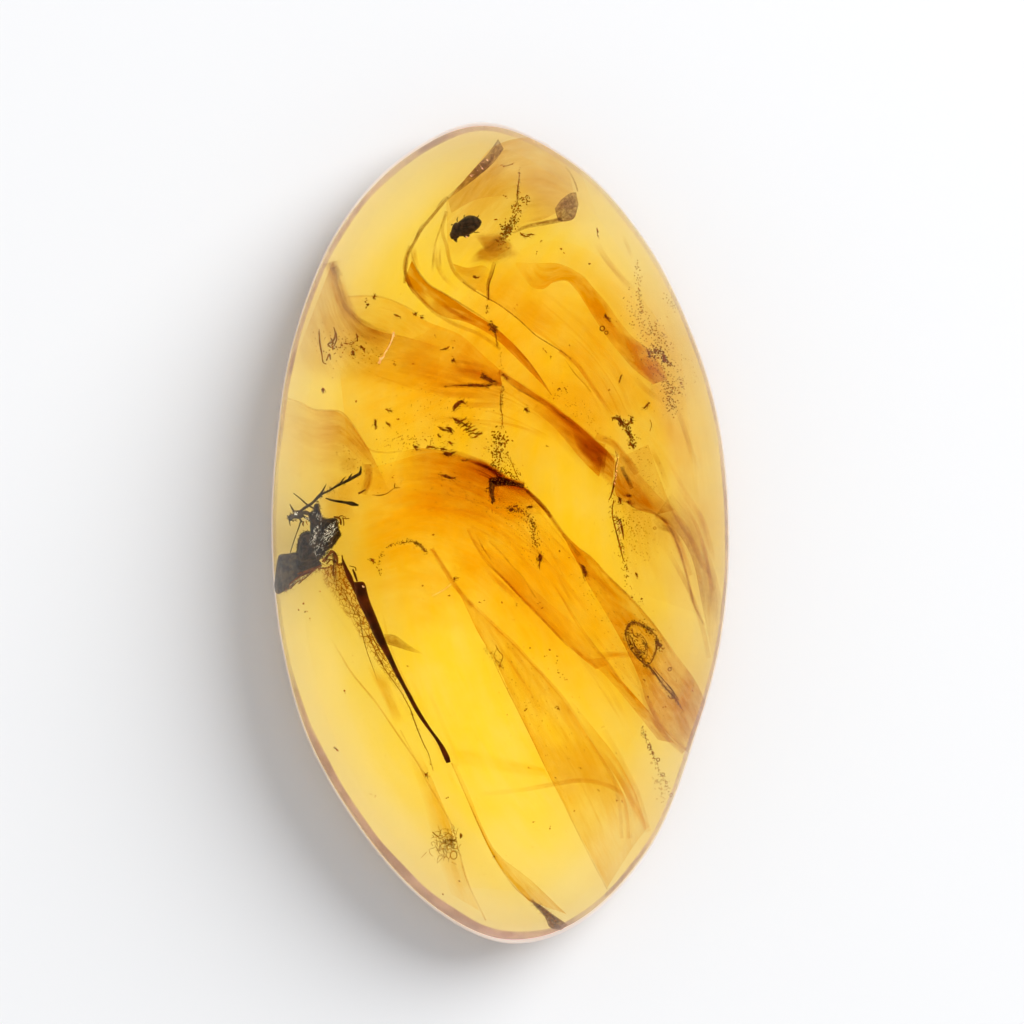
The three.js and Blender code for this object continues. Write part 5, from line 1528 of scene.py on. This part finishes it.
# %% Crumbs along the cracks and skins, and single crumbs
TRAILS = [
    ([(1.12, 22.2), (1.12, 21.4), (1.05, 20.7), (1.0, 20.0)], 60, 0.04, 0.022, 5.2),
    ([(1.0, 20.0), (0.9, 19.3), (0.6, 18.7), (0.2, 18.1), (0.1, 17.6)], 150, 0.13, 0.03, 5.2),
    ([(0.2, 18.8), (0.5, 18.5), (0.3, 18.1)], 60, 0.12, 0.035, 5.2),
    ([(1.3, 20.4), (1.5, 20.2), (1.6, 20.6)], 26, 0.09, 0.03, 5.2),
    ([(-0.8, 13.9), (-0.85, 13.2)], 14, 0.05, 0.025, 4.9),
    ([(-0.7, 12.7), (-0.4, 12.5), (-0.3, 12.2)], 34, 0.09, 0.035, 4.8),
    ([(0.0, 11.0), (0.1, 10.0)], 10, 0.08, 0.02, 4.8),
    ([(0.1, 9.0), (0.05, 8.0), (0.1, 7.0), (0.1, 6.4)], 70, 0.05, 0.022, 4.9),
    ([(-0.3, 6.0), (0.0, 5.8), (0.3, 5.3)], 45, 0.15, 0.04, 4.8),
    ([(-0.4, 5.2), (-0.1, 4.7), (-0.2, 4.1)], 70, 0.18, 0.032, 4.8),
    ([(-0.3, 4.2), (0.2, 3.6), (1.0, 3.2)], 55, 0.18, 0.03, 4.8),
    ([(0.3, 5.0), (0.7, 4.2), (1.2, 3.2)], 40, 0.06, 0.02, 4.8),
    ([(-0.6, 3.15), (0.3, 3.1), (1.4, 2.85)], 60, 0.12, 0.026, 4.8),
    ([(-0.55, 3.0), (-0.58, 2.4), (-0.4, 1.8)], 50, 0.07, 0.04, 4.8),
    ([(0.7, 1.6), (1.4, 1.2), (1.9, 0.6), (2.1, -0.2), (2.2, -0.9)], 110, 0.12, 0.026, 4.5),
    ([(1.9, 0.8), (1.98, 0.3), (2.05, -0.6), (2.3, -1.0)], 50, 0.05, 0.024, 4.5),
    ([(7.0, 7.1), (7.5, 6.6), (7.9, 6.0), (8.1, 5.2)], 90, 0.1, 0.034, 5.0),
    ([(7.9, 7.1), (8.0, 6.8), (7.6, 6.5)], 24, 0.06, 0.03, 5.0),
    ([(6.9, 3.0), (6.8, 2.2), (6.85, 1.2), (7.0, 0.4)], 50, 0.08, 0.02, 5.1),
    ([(7.1, 0.3), (7.3, -0.5), (7.5, -1.6)], 60, 0.1, 0.022, 5.1),
    ([(7.5, -1.6), (7.7, -2.6), (7.8, -3.4)], 34, 0.09, 0.02, 5.0),
    ([(7.2, 1.0), (7.3, 0.6), (7.2, 0.2)], 30, 0.09, 0.03, 5.1),
    ([(7.6, 0.9), (8.1, 0.2), (8.3, -0.6)], 60, 0.28, 0.018, 4.6),
    ([(8.0, -3.9), (8.4, -4.3), (8.9, -5.1)], 22, 0.2, 0.016, 4.2),
    ([(8.3, 16.6), (8.4, 15.2), (8.45, 14.4), (8.6, 13.4)], 70, 0.07, 0.024, 4.2),
    ([(8.0, 14.2), (8.4, 13.2), (8.9, 12.6), (9.6, 11.8)], 100, 0.3, 0.022, 4.2),
    ([(9.1, 12.6), (9.6, 12.0), (10.1, 11.5)], 60, 0.16, 0.024, 4.0),
    ([(9.1, 11.2), (9.4, 10.6), (10.2, 9.5), (10.4, 8.5)], 80, 0.26, 0.024, 3.8),
    ([(9.3, 11.4), (9.5, 11.0), (9.9, 10.9)], 60, 0.14, 0.034, 4.0),
    ([(10.1, 9.0), (10.3, 8.4), (10.4, 7.7)], 46, 0.14, 0.026, 3.8),
    ([(11.0, 9.4), (11.2, 8.8)], 14, 0.12, 0.022, 3.6),
    ([(-6.9, -0.85), (-6.4, -0.62), (-5.6, -0.5), (-5.0, -0.65), (-4.5, -1.15)], 60, 0.05, 0.022,
     4.4),
    ([(-6.2, -0.6), (-5.5, -0.62), (-4.9, -0.85), (-4.55, -1.2)], 30, 0.05, 0.022, 4.4),
    ([(10.0, 14.6), (10.4, 14.0), (10.8, 13.6)], 26, 0.08, 0.024, 3.6),
    ([(9.9, 10.9), (10.1, 10.4), (10.5, 10.2)], 40, 0.06, 0.034, 4.0),
    ([(10.2, 9.6), (10.5, 8.6), (10.3, 7.9), (10.5, 7.3)], 60, 0.2, 0.028, 3.8),
    ([(-0.5, 6.0), (-0.6, 5.2), (-0.2, 4.6), (0.6, 4.0), (0.9, 3.4)], 80, 0.28, 0.018, 4.8),
    ([(5.9, -6.4), (6.6, -7.6), (8.0, -9.2), (9.6, -11.4)], 30, 0.5, 0.016, 3.4),
    ([(0.4, -5.6), (1.8, -8.4), (3.4, -11.6), (4.8, -14.2)], 60, 0.7, 0.018, 3.0),
    ([(-7.2, -1.2), (-7.45, -2.0), (-7.3, -2.5)], 40, 0.07, 0.02, 4.2),
    ([(-0.9, -6.9), (-0.3, -7.7), (0.1, -8.5)], 60, 0.1, 0.018, 3.2),
    ([(-10.3, 11.2), (-9.3, 11.5), (-8.8, 11.6), (-8.4, 11.3)], 46, 0.14, 0.026, 3.8),
    ([(-10.9, 12.2), (-10.2, 10.4)], 10, 0.4, 0.02, 3.4),
    ([(-8.15, 14.4), (-8.1, 13.7)], 8, 0.03, 0.035, 4.2),
    ([(-6.0, 5.9), (-5.0, 5.6), (-4.2, 5.6)], 36, 0.16, 0.022, 4.2),
    ([(3.4, -7.4), (3.6, -8.6), (4.1, -8.9)], 10, 0.05, 0.022, 3.0),
    ([(8.56, -11.8), (9.05, -12.9), (9.33, -13.6), (9.7, -14.6), (10.1, -15.2), (10.3, -15.85)], 110,
     0.06, 0.022, 3.0),
    ([(9.5, -15.1), (9.8, -15.7), (9.9, -16.3)], 30, 0.12, 0.018, 2.9),
    ([(0.2, -8.6), (1.6, -10.8), (3.4, -10.7)], 30, 0.35, 0.016, 3.0),
    ([(7.7, -5.9), (8.0, -5.45), (8.6, -5.6), (9.3, -6.1)], 80, 0.08, 0.028, 4.6),
    ([(7.7, -6.0), (8.0, -6.9), (8.6, -7.7), (9.0, -8.1)], 90, 0.07, 0.03, 4.6),
    ([(8.0, -6.4), (8.4, -6.9), (8.8, -7.4)], 60, 0.18, 0.024, 4.6),
    ([(9.5, -6.5), (9.7, -6.8), (9.7, -7.1)], 50, 0.1, 0.026, 4.6),
    ([(9.2, -8.3), (9.8, -9.1), (10.8, -10.2)], 60, 0.06, 0.02, 4.2),
    ([(8.6, 12.6), (10.0, 10.6), (11.0, 8.6)], 150, 0.6, 0.018, 3.8),
    ([(7.2, 1.4), (8.2, 0.2), (8.8, -1.6)], 110, 0.45, 0.016, 4.4),
    ([(-7.2, 5.2), (-5.0, 5.8), (-2.6, 5.4)], 90, 0.4, 0.018, 4.2),
    ([(-11.0, 11.6), (-9.0, 11.2), (-7.2, 10.6)], 80, 0.4, 0.02, 3.6),
    ([(-9.6, 5.4), (-8.8, 4.2), (-7.6, 3.6)], 50, 0.35, 0.018, 3.6),
    ([(-5.4, 8.2), (-3.2, 7.4), (-1.2, 6.8)], 60, 0.5, 0.018, 4.2),
    ([(0.4, 1.6), (1.6, 0.0), (2.2, -1.6)], 70, 0.45, 0.018, 4.4),
    ([(3.0, 9.0), (4.6, 7.6), (6.2, 6.0)], 60, 0.3, 0.018, 4.8),
    ([(4.6, -2.4), (6.6, -4.8), (8.4, -7.4)], 90, 0.5, 0.018, 4.4),
    ([(-4.2, 2.6), (-2.0, 2.4), (0.2, 2.0)], 70, 0.4, 0.02, 4.6),
    ([(8.0, 5.4), (8.6, 4.2), (9.0, 2.8)], 50, 0.35, 0.018, 4.4),
]
TRAIL_WIDTH, GRAIN_SIZE, GRAIN_STRETCH = 1.3, 1.45, 1.6
trails = [grains(scattered(path, count, TRAIL_WIDTH * spread, 100 + order), level,
                 GRAIN_SIZE * size, 300 + order, GRAIN_STRETCH)
          for order, (path, count, spread, size, level) in enumerate(TRAILS)]
piece("dust_trails", trails, FRASS, smooth=False)

CRUMBS = np.array([
    (-8.1, 13.85), (-11.4, 12.2), (-8.7, 11.9), (-9.4, 11.55), (-8.9, 11.2), (-8.35, 11.15),
    (-9.6, 11.0), (-6.5, 10.3), (-6.45, 10.45), (-5.3, 10.3), (-4.0, 12.05), (-2.8, 11.7),
    (-2.9, 11.3), (-8.8, 8.05), (-6.2, 6.95), (-6.5, 3.5), (-4.6, 5.7), (-1.0, 5.2), (2.5, 17.8),
    (3.7, 17.3), (3.9, 17.05), (2.2, 17.0), (0.3, 20.5), (0.4, 20.4), (-0.25, 19.1), (5.4, 16.4),
    (6.4, 13.3), (6.65, 12.9), (6.3, 12.4), (1.0, 13.9), (-1.5, 15.5), (2.6, 11.25), (2.8, 11.0),
    (3.05, 10.75), (4.2, 11.42), (6.6, 8.7), (3.5, 8.75), (3.6, 8.8), (3.9, 8.85), (3.25, 8.2),
    (1.6, 7.5), (2.8, 5.3), (-4.1, -0.1), (-2.8, -2.75), (-4.75, -3.2), (-3.1, -3.8), (0.1, -4.25),
    (-1.0, -4.1), (-1.3, -4.2), (1.0, -4.3), (2.3, -4.3), (2.5, -4.6), (3.6, -1.1), (4.2, -1.5),
    (7.7, -2.2), (8.0, -3.9), (8.6, -4.0), (2.7, -7.5), (3.0, -7.1), (3.5, -7.5), (3.5, -8.5),
    (4.05, -8.9), (10.7, -8.9), (10.4, -8.2), (11.7, -9.6), (1.5, -10.8), (1.6, -10.7), (3.5, -10.7),
    (3.35, -14.9), (1.7, -14.3), (4.9, -14.3), (7.4, -16.3), (7.1, -16.3), (6.0, -15.7),
    (2.0, -17.6), (3.0, -18.0), (4.5, -16.9), (-7.85, -15.9), (-3.3, -16.15), (-0.4, -19.7),
    (-3.5, -22.0), (-2.5, -21.2), (-11.0, -3.55), (-12.0, -4.3), (-12.3, -4.7), (-11.9, -4.8),
    (-11.6, -5.2), (-9.5, -9.6), (-5.9, -9.0), (-5.7, -8.1), (6.3, -11.8), (9.0, -10.0),
    (9.9, -10.6), (-7.6, -16.0), (1.8, -7.0), (0.8, -6.8), (8.8, -9.0),
])
dice = np.random.default_rng(7)
count = len(CRUMBS)
crumbs = [grains(CRUMBS, dice.uniform(2.4, 5.0, count), dice.uniform(0.03, 0.065, count), 8, 1.3),
          grains(CRUMBS + dice.normal(0, 0.07, CRUMBS.shape), dice.uniform(2.4, 5.0, count),
                 dice.uniform(0.02, 0.05, count), 9, GRAIN_STRETCH)]

# The finest specks float anywhere inside an ellipse, evenly over its area.
HAZE_COUNT, HAZE_REACH = 520, (12.6, 23.0)
turn = dice.uniform(0, 2 * math.pi, HAZE_COUNT)
reach = np.sqrt(dice.uniform(0, 0.86, HAZE_COUNT))[:, None]
haze = reach * np.stack([np.cos(turn), np.sin(turn)], -1) * HAZE_REACH
crumbs.append(grains(haze, dice.uniform(1.4, 6.5, HAZE_COUNT),
                     dice.uniform(0.006, 0.018, HAZE_COUNT), 10, GRAIN_STRETCH))
piece("single_crumbs", crumbs, DUST, smooth=False)

# %% [markdown]
# ## Hairs, fibres and the shed skin
#
# Oak flowers shed tiny star-shaped hairs that are common in amber, and a tuft of them lies near
# the lower end. A few pale fibres catch the light, shown by a painted glow, and at the right
# lies the ghost of a shed skin: two loops and a pair of tails, with nothing in between.

# %% A tuft of hairs, and the fine dark fibres
fibres = [
    thread([(-11.05, 12.3), (-11.0, 11.6), (-10.88, 10.9), (-10.8, 10.4), (-10.6, 10.3)],
           (0.035, 0.05, 0.045, 0.03), 3.6, rows=22),
    thread([(-10.6, 10.5), (-10.42, 10.9), (-10.35, 10.55)], (0.04, 0.05, 0.03), 3.6),
    thread([(-10.15, 12.55), (-10.05, 12.1), (-10.2, 11.7), (-10.5, 11.5), (-10.3, 11.3),
            (-10.1, 11.45)], (0.03, 0.06, 0.05, 0.03), 3.8, rows=24),
    thread([(-10.0, 12.2), (-9.98, 11.8), (-10.12, 11.4)], (0.03, 0.045, 0.03), 3.8),
    thread([(-10.35, 11.9), (-10.2, 11.6), (-10.3, 11.4)], (0.03, 0.05, 0.04), 3.8),
    thread([(-7.8, 2.32), (-7.3, 2.3), (-6.9, 2.42), (-6.55, 2.68), (-6.4, 2.75)],
           (0.02, 0.035, 0.025, 0.02), 4.2, rows=20),
    thread([(-6.42, 3.05), (-6.45, 2.8), (-6.3, 2.75), (-6.1, 2.78)], (0.025, 0.03, 0.02), 4.2),
    thread([(-0.3, -6.8), (-0.1, -7.2), (0.15, -7.5), (0.0, -8.0), (0.2, -8.3)],
           (0.02, 0.025, 0.015), 3.3, rows=20),
    thread([(-0.2, -7.0), (-0.4, -7.5), (-0.1, -7.9)], (0.015, 0.02), 3.3),
    thread([(3.3, -10.65), (3.5, -10.55), (3.6, -10.8)], (0.02, 0.02), 3.0),
    thread([(9.1, 6.9), (9.2, 6.6), (9.1, 6.2)], (0.02, 0.02), 4.6),
    thread([(1.2, 18.3), (1.3, 18.15), (1.6, 18.05), (1.9, 18.2)], (0.03, 0.04, 0.02), 5.0),
]

# The tuft: short curled hairs about its middle, rays from its heart, and a loop below it.
HAIRS, HAIR_SPREAD, TUFT_MIDDLE = 95, 0.42, (-3.25, -18.95)
RAYS, RAY_LENGTH, TUFT_HEART = 16, 0.32, np.array([-2.95, -18.75])
tuft = np.random.default_rng(17)
for _ in range(HAIRS):
    root = TUFT_MIDDLE + tuft.normal(0, 1, 2) * HAIR_SPREAD
    turn, curl, arm = tuft.uniform(0, 2 * math.pi), tuft.normal(0, 1.6), tuft.uniform(0.08, 0.2)
    bends = turn + curl * np.arange(4) / 3
    steps = arm * np.stack([np.cos(bends), np.sin(bends)], -1)
    fibres.append(thread(root + np.cumsum(steps, 0), (0.014, 0.013, 0.008), 3.4, rows=7, sides=4))
fibres += [
    fringe([(-6.95, -0.9), (-6.4, -0.64), (-5.6, -0.5), (-5.0, -0.66), (-4.5, -1.15)], 90, 0.08,
           4.4, 18),
    fringe([(-5.6, -0.5), (-5.0, -0.7), (-4.6, -1.1)], 40, 0.07, 4.4, 19),
    fringe([(1.9, -22.4), (2.5, -22.95), (2.9, -23.5), (3.2, -23.95)], 120, 0.16, 3.7, 21),
    fringe([(2.3, -22.7), (2.9, -23.2), (3.4, -23.7)], 120, 0.16, 3.7, 22),
    fringe([(-5.9, -9.9), (-5.4, -11.0), (-4.7, -12.8), (-4.15, -14.4)], 70, 0.07, 3.6, 20),
]
for bend in tuft.uniform(-0.08, 0.08, (RAYS, 2)):
    turn = tuft.uniform(0, 2 * math.pi)
    arm = RAY_LENGTH * np.array([math.cos(turn), math.sin(turn)])
    fibres.append(thread([TUFT_HEART, TUFT_HEART + 0.5 * arm + bend, TUFT_HEART + arm],
                         (0.022, 0.014), 3.5, rows=6, sides=4))
turn = np.linspace(0, 2 * math.pi, 13)
loop = np.stack([-2.85 + 0.2 * np.cos(turn), -19.62 + 0.24 * np.sin(turn)], -1)
fibres += [
    thread(loop, 0.028, 3.4, rows=22, sides=5),
    thread([(-2.45, -18.3), (-2.4, -18.42), (-2.45, -18.6)], (0.05, 0.08, 0.03), 3.4),
    thread([(-4.15, -18.2), (-4.0, -18.35), (-3.8, -18.5)], (0.03, 0.03), 3.4),
]
piece("plant_hairs", fibres, PALE_DUST)

# %% The shed skin
shed = [
    thread([(7.6, -5.95), (7.75, -5.65), (8.0, -5.42), (8.4, -5.5), (8.8, -5.75), (9.2, -6.0),
            (9.5, -6.3)], (0.02, 0.035, 0.025, 0.03, 0.015), 4.6, rows=30),
    thread([(7.6, -5.95), (7.62, -6.3), (7.8, -6.8), (8.1, -7.3), (8.5, -7.75), (9.0, -8.1)],
           (0.02, 0.025, 0.035, 0.04), 4.6, rows=30),
    thread([(9.5, -6.3), (9.55, -6.8), (9.35, -7.5), (9.15, -7.9), (8.9, -8.0)],
           (0.015, 0.025, 0.03, 0.02), 4.6, rows=26),
    thread([(8.2, -6.1), (8.55, -6.2), (8.85, -6.6), (8.95, -7.2), (8.85, -7.7)],
           (0.012, 0.02, 0.015), 4.7, rows=22),
    thread([(7.95, -6.3), (8.2, -6.9), (8.55, -7.3)], (0.02, 0.04, 0.02), 4.7, rows=16),
    thread([(8.0, -5.8), (8.1, -6.2), (8.4, -6.4)], (0.03, 0.03), 4.7, rows=12),
    thread([(9.05, -8.1), (9.6, -8.8), (10.1, -9.5), (10.6, -10.0), (11.15, -10.85)],
           (0.04, 0.03, 0.04, 0.02), (4.5, 3.6), rows=34),
    thread([(9.3, -8.2), (9.8, -8.8), (10.4, -9.5), (10.85, -10.15)], (0.03, 0.025, 0.04, 0.02),
           (4.5, 3.7), rows=28),
    thread([(10.0, -9.55), (10.3, -9.6), (10.6, -9.9), (10.4, -10.1), (10.2, -9.9)],
           (0.02, 0.03), 3.8, rows=20),
    thread([(9.45, -6.55), (9.6, -6.75), (9.75, -6.9)], (0.07, 0.11, 0.05), 4.6, rows=12),
    fringe([(7.65, -6.0), (8.0, -5.5), (8.7, -5.65), (9.5, -6.3), (9.4, -7.3), (9.0, -8.0),
            (8.4, -7.6), (7.8, -6.8)], 190, 0.16, 4.6, 23, closed=True),
    fringe([(8.3, -6.2), (8.7, -6.5), (8.85, -7.2), (8.5, -7.3), (8.1, -6.8)], 80, 0.2, 4.7, 24),
    fringe([(9.0, -8.1), (9.6, -8.9), (10.2, -9.6), (10.8, -10.4), (11.15, -10.85)], 120, 0.14, 4.0,
           25),
]
piece("shed_skin", shed, AMBER_LEG)

# Pale fibres, and pale glowing threads and grains that are painted glints: on the folded wing, on
# the beetle's back, in the dark wedge at the top and along the crack at the right.
pale = [
    thread([(-6.5, 12.25), (-6.55, 11.95), (-6.72, 11.5), (-6.95, 11.1)],
           (0.05, 0.035, 0.03, 0.035), 4.4, rows=18),
    thread([(-6.6, 12.05), (-6.42, 11.98)], (0.03, 0.02), 4.4, rows=5),
    thread([(-6.9, 11.15), (-7.05, 10.95), (-7.1, 10.75), (-7.3, 10.55), (-7.35, 10.3)],
           (0.035, 0.03, 0.05, 0.03), 4.3, rows=18),
    thread([(-7.35, 10.7), (-7.3, 10.5), (-7.45, 10.35)], (0.03, 0.05), 4.3, rows=8),
    thread([(-4.2, -3.85), (-3.8, -3.65), (-3.4, -3.42), (-3.0, -3.1)], (0.012, 0.02, 0.012), 4.6,
           rows=20, sides=5),
    # Painted glints on the folded wing.
    thread([(-8.42, -3.2), (-8.35, -3.28), (-8.28, -3.27)], (0.03, 0.05, 0.02), 5.2, rows=8),
    thread([(-5.95, -9.6), (-5.88, -9.68)], (0.03, 0.02), 4.3, rows=5),
    # A painted glint on the beetle's back.
    thread([(-2.12, 18.08), (-2.03, 18.02), (-1.98, 18.04)], (0.03, 0.045, 0.02), 6.4, rows=8),
    # Painted glints in the dark wedge at the top.
    thread([(-0.85, 22.75), (-0.75, 22.65)], (0.03, 0.02), 7.0, rows=5),
    thread([(-1.15, 22.25), (-1.05, 22.15)], (0.03, 0.02), 7.0, rows=5),
    thread([(-1.85, 21.8), (-1.75, 21.7)], (0.025, 0.02), 7.0, rows=5),
    # Painted glints along the crack at the right, then in the dark wedge at the top.
    grains(scattered([(7.05, 4.9), (7.1, 4.3), (7.05, 3.7), (6.98, 3.0)], 34, 0.035, 61), 5.6,
            0.02, 62, 1.8),
    grains(scattered([(7.2, 0.9), (7.3, -0.2), (7.5, -1.2)], 26, 0.07, 63), 5.5, 0.022, 64, 1.6),
    grains(scattered([(-0.8, 22.8), (-1.8, 21.8)], 12, 0.08, 65), 7.0, 0.02, 66, 1.6),
]
piece("pale_fibres_and_glints", pale, FIBRE_AND_GLINT)

# %% [markdown]
# ## Cracks and bubbles
#
# A crack is a very thin gap of air, and shows as a dark wavy line with bright grains where its
# walls turn the light back. Here both are painted: the line is a thread of dark dust-coloured
# matter standing for that shade, and the bright grains, kept with the pale fibres, are painted
# glints. Small bubbles show as dark rings, because only the light through their very middle
# comes straight out; each ring here is a dark thread, a painted shade.

# %% Crack lines and bubble rings, as painted shade
def ring(x, y, radius, level):
    """A bubble's dark rim, painted shade: a thread round a circle."""
    turn = np.linspace(0, 2 * math.pi, 9)
    return thread(np.stack([x + radius * np.cos(turn), y + radius * np.sin(turn)], -1),
                  0.25 * radius, level, rows=17, sides=5)


# Dark threads that paint the shade of the cracks, then the bubbles' dark rims, also painted shade.
cracks = [
    thread([(7.0, 5.0), (7.12, 4.5), (7.0, 4.0), (7.02, 3.5), (6.92, 3.1)],
           (0.02, 0.03, 0.025), 5.3, rows=30, sides=5),
    thread([(6.95, 3.2), (6.88, 2.8), (6.75, 2.3), (6.6, 2.0)], (0.06, 0.05, 0.03), 5.3,
           rows=20, sides=5),
    thread([(6.9, 2.0), (6.8, 1.2), (7.0, 0.3), (7.2, -0.5), (7.5, -1.7)],
           (0.03, 0.03, 0.045, 0.03), 5.2, rows=40, sides=5),
    thread([(7.1, 0.9), (7.35, 0.5), (7.45, 0.0), (7.5, -0.4)], (0.03, 0.06, 0.05, 0.02), 5.0,
           rows=20, sides=8),
    thread([(-0.3, 16.4), (-0.5, 15.7), (-0.7, 15.1), (-0.72, 14.2)], (0.02, 0.035, 0.04), 5.1,
           rows=24, sides=5),
    thread([(0.05, 8.9), (0.0, 7.9), (0.12, 7.0), (0.1, 6.6)], (0.015, 0.02, 0.015), 4.9, rows=30,
           sides=4),
    thread([(1.15, 22.0), (1.1, 21.3), (1.02, 20.6), (1.02, 20.0)], (0.015, 0.025, 0.02), 5.3,
           rows=24, sides=4),
    thread([(0.35, 4.9), (0.7, 4.2), (1.15, 3.2)], (0.012, 0.012), 4.9, rows=16, sides=4),
    ring(6.95, 0.87, 0.11, 5.3),
] + [ring(x, y, radius, 3.2) for x, y, radius in [
    (8.8, -12.3, 0.07), (9.05, -13.0, 0.09), (9.3, -13.4, 0.06), (9.6, -13.8, 0.1),
    (9.9, -14.7, 0.09), (10.1, -15.2, 0.07), (10.4, -15.95, 0.09), (9.2, -14.0, 0.05),
    (9.5, -15.1, 0.06), (9.8, -15.6, 0.05), (6.2, 12.45, 0.14), (6.45, 12.2, 0.1),
    (9.4, 0.3, 0.08), (10.3, -8.3, 0.1),
]]
piece("painted_crack_and_bubble_shade", cracks, DUST)

# %% [markdown]
# ## Floor and light
#
# The stone lies on a plain pale sheet. A pale sky lights everything evenly, and a large soft
# lamp to the upper right throws the stone's soft shadow to its lower left.

# %% The floor
FLOOR_GAP = 0.05 * MM
FLOOR_REACH = 2.0


def pale_floor():
    """Matte pale paper."""
    material, wire = blank("pale_floor")
    paper = wire.node("BsdfPrincipled", sockets={
        "Base Color": (0.86, 0.86, 0.86, 1), "Roughness": 0.9, "Specular IOR Level": 0.0,
    })
    return finished(material, paper)


floor_mesh = bpy.data.meshes.new("floor")
floor_mesh.from_pydata([(x * FLOOR_REACH, y * FLOOR_REACH, -FLOOR_GAP)
                        for x, y in ((-1, -1), (1, -1), (1, 1), (-1, 1))], [], [(0, 1, 2, 3)])
floor_mesh.materials.append(pale_floor())
floor = bpy.data.objects.new("floor", floor_mesh)
bpy.context.collection.objects.link(floor)

# %% The sky and the lamp
SKY = 0.41
HORIZON = 0.42
SKY_THROUGH_STONE = 2.2
SKY_THROUGH_EDGE = 0.28
HORIZON_SHINE = 0.8
LAMP_DISTANCE = 1.4
LAMP_SIZE = 1.13
LAMP_AZIMUTH = math.radians(37)
LAMP_HEIGHT = math.radians(32)
LAMP_POWER = 25.0
LAMP_COLOUR = (0.995, 1.0, 1.01)
SKY_COLOUR = (0.985, 0.995, 1.02, 1)
SEEN_THROUGH_STONE = 1.6

# A ray that has passed two clear surfaces has gone through the stone, and one that has passed
# four has gone down to the floor and back up through it.
ONCE_THROUGH = 1.5
TWICE_THROUGH = 3.5

world = bpy.data.worlds.new("sky")
bpy.context.scene.world = world
world.use_nodes = True
world.node_tree.nodes.clear()
start = Wire(world.node_tree)
rays = start.node("LightPath").socket.node.outputs
through, shine, passes = (Wire(world.node_tree, rays[name]) for name in
                          ("Is Transmission Ray", "Is Glossy Ray", "Transmission Depth"))
aim = start.node("TexCoord")
up = start.node("SeparateXYZ", sockets={0: aim}, output="Z")
plain_sky = SKY + HORIZON * (1 - up).held()
deep = passes.maths("GREATER_THAN", passes, TWICE_THROUGH)
sky_through_stone = SKY_THROUGH_STONE * (2.1 - 1.1 * up.ramp(0.0, 0.55))
sky_through_edge = SKY_THROUGH_EDGE * plain_sky
sky_in_polish = HORIZON_SHINE * (1 - up.ramp(0.3, 0.6))
seen = passes.maths("GREATER_THAN", passes, ONCE_THROUGH)
shining = (plain_sky * (1 - through) * (1 - shine) * (1 + SEEN_THROUGH_STONE * seen)
           + sky_in_polish * shine
           + through * (sky_through_stone * deep + sky_through_edge * (1 - deep)))
glow = start.node("Background", sockets={"Color": SKY_COLOUR, "Strength": shining})
out = world.node_tree.nodes.new("ShaderNodeOutputWorld")
world.node_tree.links.new(glow.socket, out.inputs["Surface"])

lamp_data = bpy.data.lights.new("soft_lamp", "AREA")
lamp_data.shape = "DISK"
lamp_data.size = LAMP_SIZE
lamp_data.energy = LAMP_POWER
lamp_data.color = LAMP_COLOUR
lamp = bpy.data.objects.new("soft_lamp", lamp_data)
bpy.context.collection.objects.link(lamp)
toward_lamp = Vector((math.cos(LAMP_HEIGHT) * math.cos(LAMP_AZIMUTH),
                      math.cos(LAMP_HEIGHT) * math.sin(LAMP_AZIMUTH), math.sin(LAMP_HEIGHT)))
lamp.location = toward_lamp * LAMP_DISTANCE
lamp.rotation_euler = toward_lamp.to_track_quat("Z", "Y").to_euler()
lamp.visible_transmission = False
lamp.visible_glossy = False

scene = bpy.context.scene
scene.view_settings.view_transform = "Standard"
scene.cycles.max_bounces = 14
scene.cycles.transmission_bounces = 14
scene.cycles.diffuse_bounces = 2
scene.cycles.transparent_max_bounces = 48
